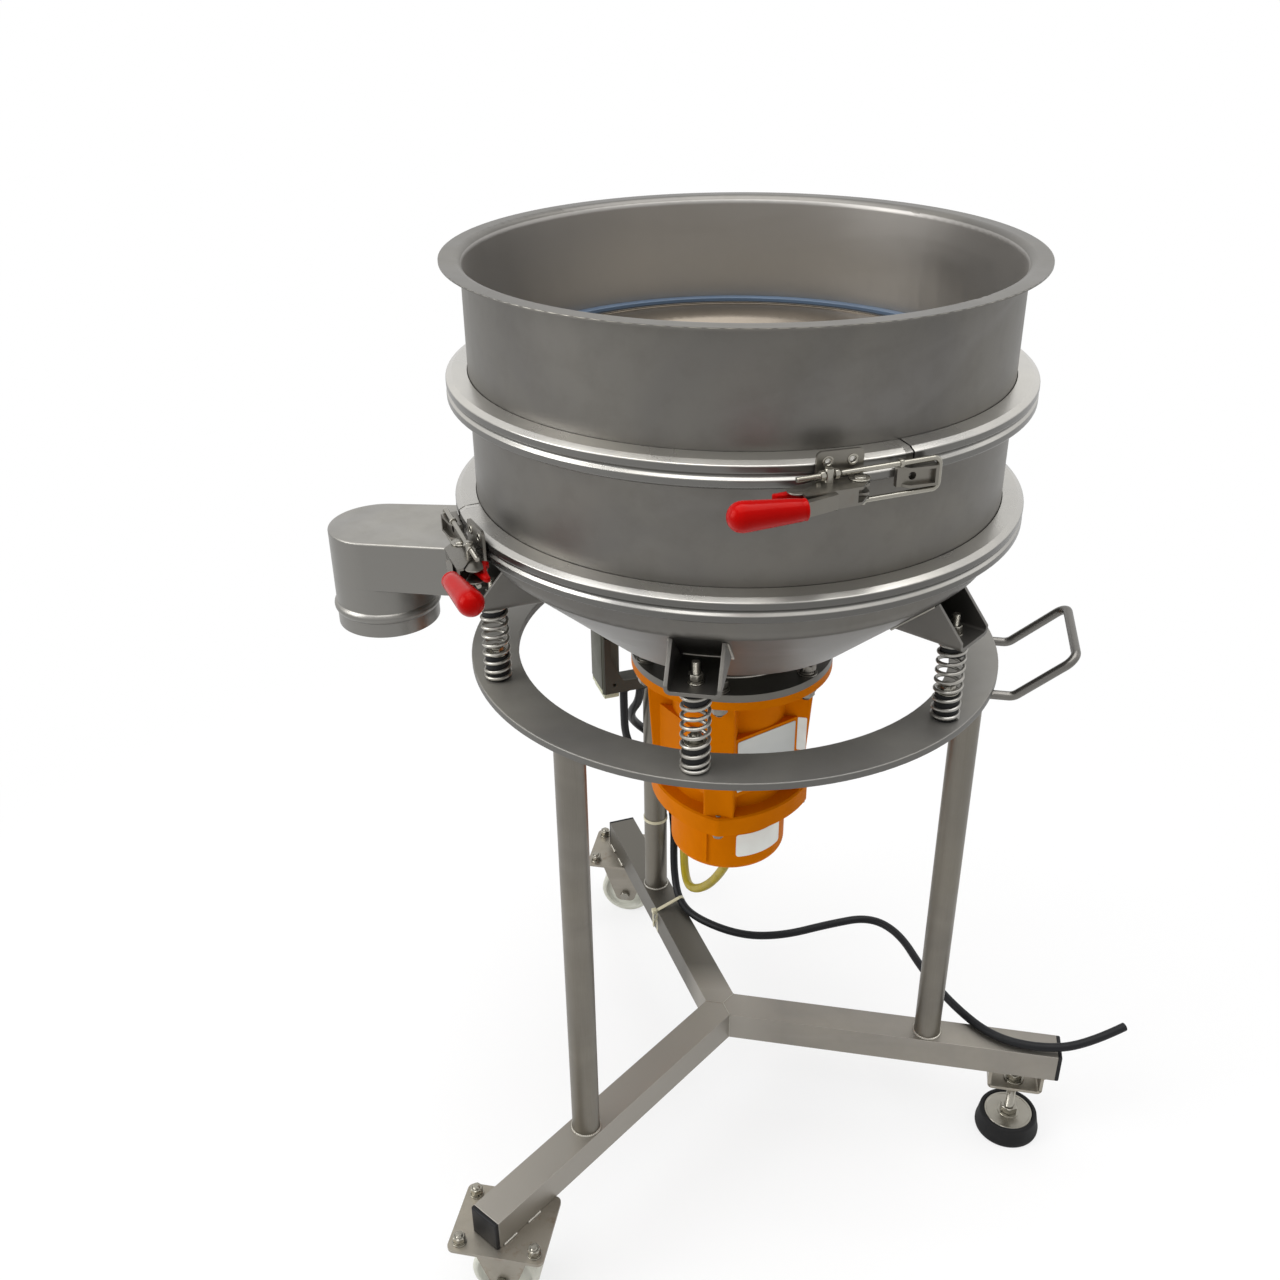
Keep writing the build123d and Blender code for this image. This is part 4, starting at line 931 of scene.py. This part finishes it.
def motor_casting():
    """The cast body, its four plate faces drawn back until they run from rib to rib."""
    body = nodes["motor_body"]
    low, high, new_high = 545, 640, 623
    outside, half, face_from, new_half = 55, 35, 78.5, 45.6
    casting = Piece("motor_casting")
    casting.bm.from_mesh(body.data)
    bmesh.ops.transform(casting.bm, matrix=body.matrix_world, verts=casting.bm.verts)
    bmesh.ops.remove_doubles(casting.bm, verts=casting.bm.verts, dist=0.00001)
    for k in range(4):
        m = spot((0, 0, 0), (0, 0, 1), polar(1, PLATE_AZ + 90 * k))
        back = m.inverted()
        for v in casting.bm.verts:
            q = back @ v.co
            on_edge = abs(q.z - high) < 0.5 or abs(q.z - low) < 0.5
            if q.x > outside and abs(q.y) < half and on_edge:
                x, y = (PLATE_AT, math.copysign(new_half, q.y)) if q.x > face_from else (q.x, q.y)
                v.co = m @ Vector((x, y, min(q.z, new_high)))
    soften(casting.done(orange, replaces=["motor_body"]), 0.0012)


def motor_fastenings():
    """Studs through the flange and screws through the collar."""
    washer, thin_nut = 1.6, 7.8
    studs = Piece("motor_bolts")
    for k in range(6):
        m = stand(104, MOTOR_AZ + 0.5 + 60 * k)
        studs.fasten(m, M10, ADAPTER_TOP, washer, 2)
        studs.thread(m, M10.r, ADAPTER_TOP, ADAPTER_TOP + 16, M10.pitch)
        studs.washer(m, M10.washer, M10.r + 0.1, FLANGE_LOW - washer, washer)
        studs.nut(m, M10.flats, FLANGE_LOW - washer - thin_nut, thin_nut, M10.r)
        studs.thread(m, M10.r, FLANGE_LOW - 13.5, FLANGE_LOW - 1, M10.pitch)
    socket_head = [(3.2, 521.5), (3.2, 523.0), (2.8, 523.4), (1.8, 523.4), (1.7, 522.4)]
    for k in range(4):
        m = stand(87, MOTOR_AZ + 90 * k)
        studs.lathe(m, socket_head, 24)
        studs.nut(m, 12, 493.4, 4.6)
    studs.done(plated_bright)


def labels():
    """Bare sheets on the motor's cover and on one rib, and a bare plate on one face."""
    paper, metal = Piece("blank_labels"), Piece("blank_plate")
    curved_label(paper, 68.95, -81, -27, 450, 482, 4, 0.35)
    rib_side = spot(polar(17.5, MOTOR_AZ), polar(1, MOTOR_AZ), polar(1, MOTOR_AZ + 90))
    paper.plate(rib_side, rounded(80.6, 91.2, 578, 622, 1.5), -0.05, 0.3)
    paper.done(label_white, sharp=50)
    face = spot(polar(PLATE_AT, PLATE_AZ), polar(1, PLATE_AZ), polar(1, PLATE_AZ + 90))
    metal.plate(face, rounded(-42, 41, 551, 619, 2), -0.05, 0.6)
    metal.done(label_silver, sharp=50)


def beside_leg(x, y, z):
    """Point beside the rear leg: x along the box's width, y outwards, z above the floor."""
    return polar(LEG_AT, REAR_AZ, z) + polar(x, REAR_AZ - 90) + polar(y, REAR_AZ)


def glands():
    """Gland under the motor's cover, and sleeves where the cords enter the box."""
    bore, supply_bore, motor_bore = 6.4, 5.9, 6.4
    rubbers = Piece("cable_glands")
    low = spot(MOTOR_EXIT)
    rubbers.nut(low, 24, -5.5, 5.5, bore)
    rubbers.lathe(low, [(bore, -15), (8.6, -15), (10.4, -12.5), (10.6, -5.5), (bore, -5.5)], 36, loop=True)
    for place, r in ((SUPPLY_IN, supply_bore), (MOTOR_IN, motor_bore)):
        sleeve = [(r, -4), (r + 1.6, -4), (r + 2.6, -3), (r + 2.8, 0), (r, 0)]
        rubbers.lathe(spot(beside_leg(*place)), sleeve, 32, loop=True)
    rubbers.done(black_plastic)


def strap(tie, m, way, lo, hi, thick):
    """Flat band along a closed way in x and y, lo to hi in z, thickened outwards."""
    n = len(way)
    pts = [Vector((x, y)) for x, y in way]
    rows = []
    for i, q in enumerate(pts):
        a, b = (q - pts[i - 1]).normalized(), (pts[(i + 1) % n] - q).normalized()
        t = (a + b).normalized()
        out = Vector((-t.y, t.x)) * (thick / max(0.5, t.dot(a)))
        rows.append([m @ Vector((v.x, v.y, z)) for v, z in ((q, lo), (q + out, lo), (q + out, hi), (q, hi))])
    tie.skin(rows, loop=True)


def ties():
    """One tie round the rear leg, and one round the rear tube and the cord on it."""
    tie = Piece("cable_ties")
    leg = stand(LEG_AT, REAR_AZ)
    leg_r = LEG_R + 0.05
    strap(tie, leg, [(leg_r * math.cos(a), -leg_r * math.sin(a)) for a in angles(48)], 271, 275.5, 1.0)
    tie.slab(leg, (16.6, -4, 270), (22.4, 4, 277), 0.8)
    tube = spot(polar(208, REAR_AZ), polar(-1, REAR_AZ), polar(1, REAR_AZ - 90))
    side, under, over = TUBE / 2 + 0.1, BASE_LOW - 0.1, BASE_TOP + 0.3
    band = [(-side, under), (-side, over), (12.6, 164.2), (14.6, 165.6), (16.9, 166.1), (19.6, 165.5),
            (21.7, 163.6), (22.7, 160.6), (22.2, 157.4), (20.6, over), (side, under)]
    strap(tie, tube, band[::-1], -2.8, 2.8, 1.2)
    tie.slab(tube, (-27.5, 146.5, -4), (-20.6, 153.5, 4), 0.9)
    tie.slab(tube, (-26.4, 122, -2.2), (-25.2, 147, 2.2), 0.4)
    end = tube @ Matrix.Translation((-25, 122, 0)) @ Matrix.Rotation(-0.28, 4, "Z")
    tie.slab(end, (-1.2, 0, -2.2), (0, 25, 2.2), 0.4)
    tie.done(tie_cream, sharp=40)


def box_details():
    """Pale strip under the box, its lid, a ridge on its face and two screws."""
    m = spot(beside_leg(0, 0, BOX_Z), (0, 0, 1), polar(1, REAR_AZ - 90))
    strip, lid, screws = Piece("box_foot_strip"), Piece("box_lid"), Piece("box_screws")
    strip.slab(m, (-79.4, -22.4, -8.4), (-58.6, 22.4, 0.4), 0.8)
    strip.slab(m, (-82.3, -22, 0.2), (-81.6, 22, 5), 0.3)
    strip.done(pale_case)
    lid.slab(m, (-82.9, -23, 8), (-81.4, 23, 89), 0.6)
    lid.slab(m, (-74, 25.5, 6), (-62, 26.9, 86), 0.6)
    lid.done(grey_case)
    for z in (12, 80):
        turn = m @ Matrix.Translation((-68, 26.6, z)) @ Matrix.Rotation(-math.pi / 2, 4, "X")
        screws.lathe(turn, [(3, -0.5), (3, 0.8), (2.4, 1.3), (0.8, 1.4)], 24)
    screws.done(dark_steel)


# Cords

def lead(name, route, radius, material, node):
    """Cord along a given route, at its real length."""
    data = bpy.data.curves.new(name, "CURVE")
    data.dimensions = "3D"
    data.bevel_depth = radius / 1000
    data.bevel_resolution = 5
    data.resolution_u = 10
    data.use_fill_caps = True
    spline = data.splines.new("NURBS")
    spline.points.add(len(route) - 1)
    for point, p in zip(spline.points, route):
        point.co = (*at(p), 1.0)
    spline.order_u = 3
    spline.use_endpoint_u = True
    obj = placed(name, data)
    data.materials.append(material)
    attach(obj, "machine")
    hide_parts(node)


def cords():
    near = beside_leg
    lying = BASE_TOP + 6.5
    along_tube = [(-69, 201), (-44, 162), (21, 128), (82, 131), (150, 160), (208, 179), (248, 147), (273, 71),
                  (306, 5), (347, -46), (402, -63)]
    supply = [near(*SUPPLY_IN), near(-50, -15, 472), near(-46, -6, 430), near(-28, 14, 385), near(0, 28, 345),
              near(26, 12, 305), near(24, -14, 262), near(21, -20, 215), near(20, -26, 180)]
    supply += [(x, y, lying) for x, y in along_tube] + [(460, -60, 162), (516, -31, 170)]
    lead("supply_lead", supply, 5.5, cord_black, "supply_cord")
    motor = [MOTOR_EXIT, (8, 20, 385), (-19, 85, 283), (-48, 145, 222), (-60, 196, 206), near(38, -16, 232),
             near(41, -4, 295), near(38, 22, 345), near(12, 38, 388), near(-22, 30, 425), near(-35, 5, 458),
             near(-26, -15, 488), near(*MOTOR_IN)]
    lead("motor_lead", motor, 6.0, cord_two, "motor_cord")


springs()
band_tongues()
clamps()
wheel("front_wheel", FRONT_AZ)
wheel("rear_wheel", REAR_AZ)
castors()
levelling_foot()
welds()
motor_casting()
motor_fastenings()
labels()
glands()
ties()
box_details()
cords()


# Studio and camera

def floor_shade():
    """White to the camera and in gloss, matt under the part, for a soft shadow."""
    near, far = 0.45, 1.5
    s = Shader("floor", 0.6)
    s.set("Base Color", s.mix(s.noise(1.5, 2, 0.5), (0.86, 0.86, 0.86, 1), (0.9, 0.9, 0.9, 1)))
    rays = s.add("ShaderNodeLightPath").outputs
    seen = s.math("ADD", rays["Is Camera Ray"], s.math("MULTIPLY", rays["Is Glossy Ray"], 0.6), True)
    seen = s.math("ADD", seen, rays["Is Transmission Ray"], True)
    glow = s.add("ShaderNodeEmission")
    away = s.add("ShaderNodeVectorMath", operation="LENGTH")
    s.link(s.place, away.inputs[0])
    share = s.span(away.outputs["Value"], near, far, 0.72, 1.0, smooth=True)
    mix = s.add("ShaderNodeMixShader")
    s.link(s.math("MULTIPLY", seen, share), mix.inputs[0])
    s.link(s.bsdf.outputs[0], mix.inputs[1])
    s.link(glow.outputs[0], mix.inputs[2])
    s.link(mix.outputs[0], s.out.inputs[0])
    return s.mat


def floor():
    bm = bmesh.new()
    bmesh.ops.create_circle(bm, cap_ends=True, segments=64, radius=30)
    mesh = bpy.data.meshes.new("floor")
    bm.to_mesh(mesh)
    obj = placed("floor", mesh)
    mesh.materials.append(floor_shade())


def backdrop():
    """White where it is seen, directly or in gloss, and softer as a source of light."""
    world = bpy.data.worlds.new("studio")
    world.use_nodes = True
    bpy.context.scene.world = world
    tree = Tree(world.node_tree)
    rays = tree.add("ShaderNodeLightPath").outputs
    seen = tree.math("ADD", rays["Is Camera Ray"], rays["Is Glossy Ray"], True)
    seen = tree.math("ADD", seen, rays["Is Transmission Ray"], True)
    mix = tree.add("ShaderNodeMixShader")
    tree.link(seen, mix.inputs[0])
    for socket, strength in ((1, 0.5), (2, 1.0)):
        shade = tree.add("ShaderNodeBackground")
        shade.inputs[0].default_value = (1, 1, 1, 1)
        shade.inputs[1].default_value = strength
        tree.link(shade.outputs[0], mix.inputs[socket])
    tree.link(mix.outputs[0], tree.add("ShaderNodeOutputWorld").inputs[0])


def lamp(name, place, aim, size, power):
    """Rectangular lamp; place, aim and size in metres, power in watts."""
    light = bpy.data.lights.new(name, "AREA")
    light.shape = "RECTANGLE"
    light.size, light.size_y = size
    light.energy = power
    obj = placed(name, light)
    obj.location = place
    obj.rotation_euler = (Vector(aim) - Vector(place)).to_track_quat("-Z", "Y").to_euler()


def camera():
    """The photograph's camera, worked out from its circles and legs."""
    yaw, pitch, roll = -0.079459, 0.499324, -0.013647
    eye = (0, -1318.616, 1424.326)
    picture, focal, sensor = 1280, 1314.32, 36.0  # pixels, pixels, mm
    forward = Vector((math.sin(yaw) * math.cos(pitch), math.cos(yaw) * math.cos(pitch), -math.sin(pitch)))
    right = Vector((math.cos(yaw), -math.sin(yaw), 0))
    up = right.cross(forward)
    x = right * math.cos(roll) + up * math.sin(roll)
    y = up * math.cos(roll) - right * math.sin(roll)
    data = bpy.data.cameras.new("camera")
    data.sensor_width = sensor
    data.lens = focal / picture * sensor
    obj = placed("camera", data)
    turn = Matrix((x, y, -forward)).transposed().to_4x4()
    obj.matrix_world = Matrix.Translation(at(eye)) @ turn
    bpy.context.scene.camera = obj


floor()
backdrop()
lamp("overhead", (0.1, -0.2, 3.1), (0, 0, 0.6), (3.2, 2.6), 84)
lamp("left", (-2.6, -0.9, 2.1), (0, 0, 0.8), (1.6, 2.0), 52)
lamp("right", (2.8, 0.4, 1.6), (0, 0, 0.7), (1.2, 1.8), 4)
camera()
bpy.context.scene.view_settings.view_transform = "Standard"
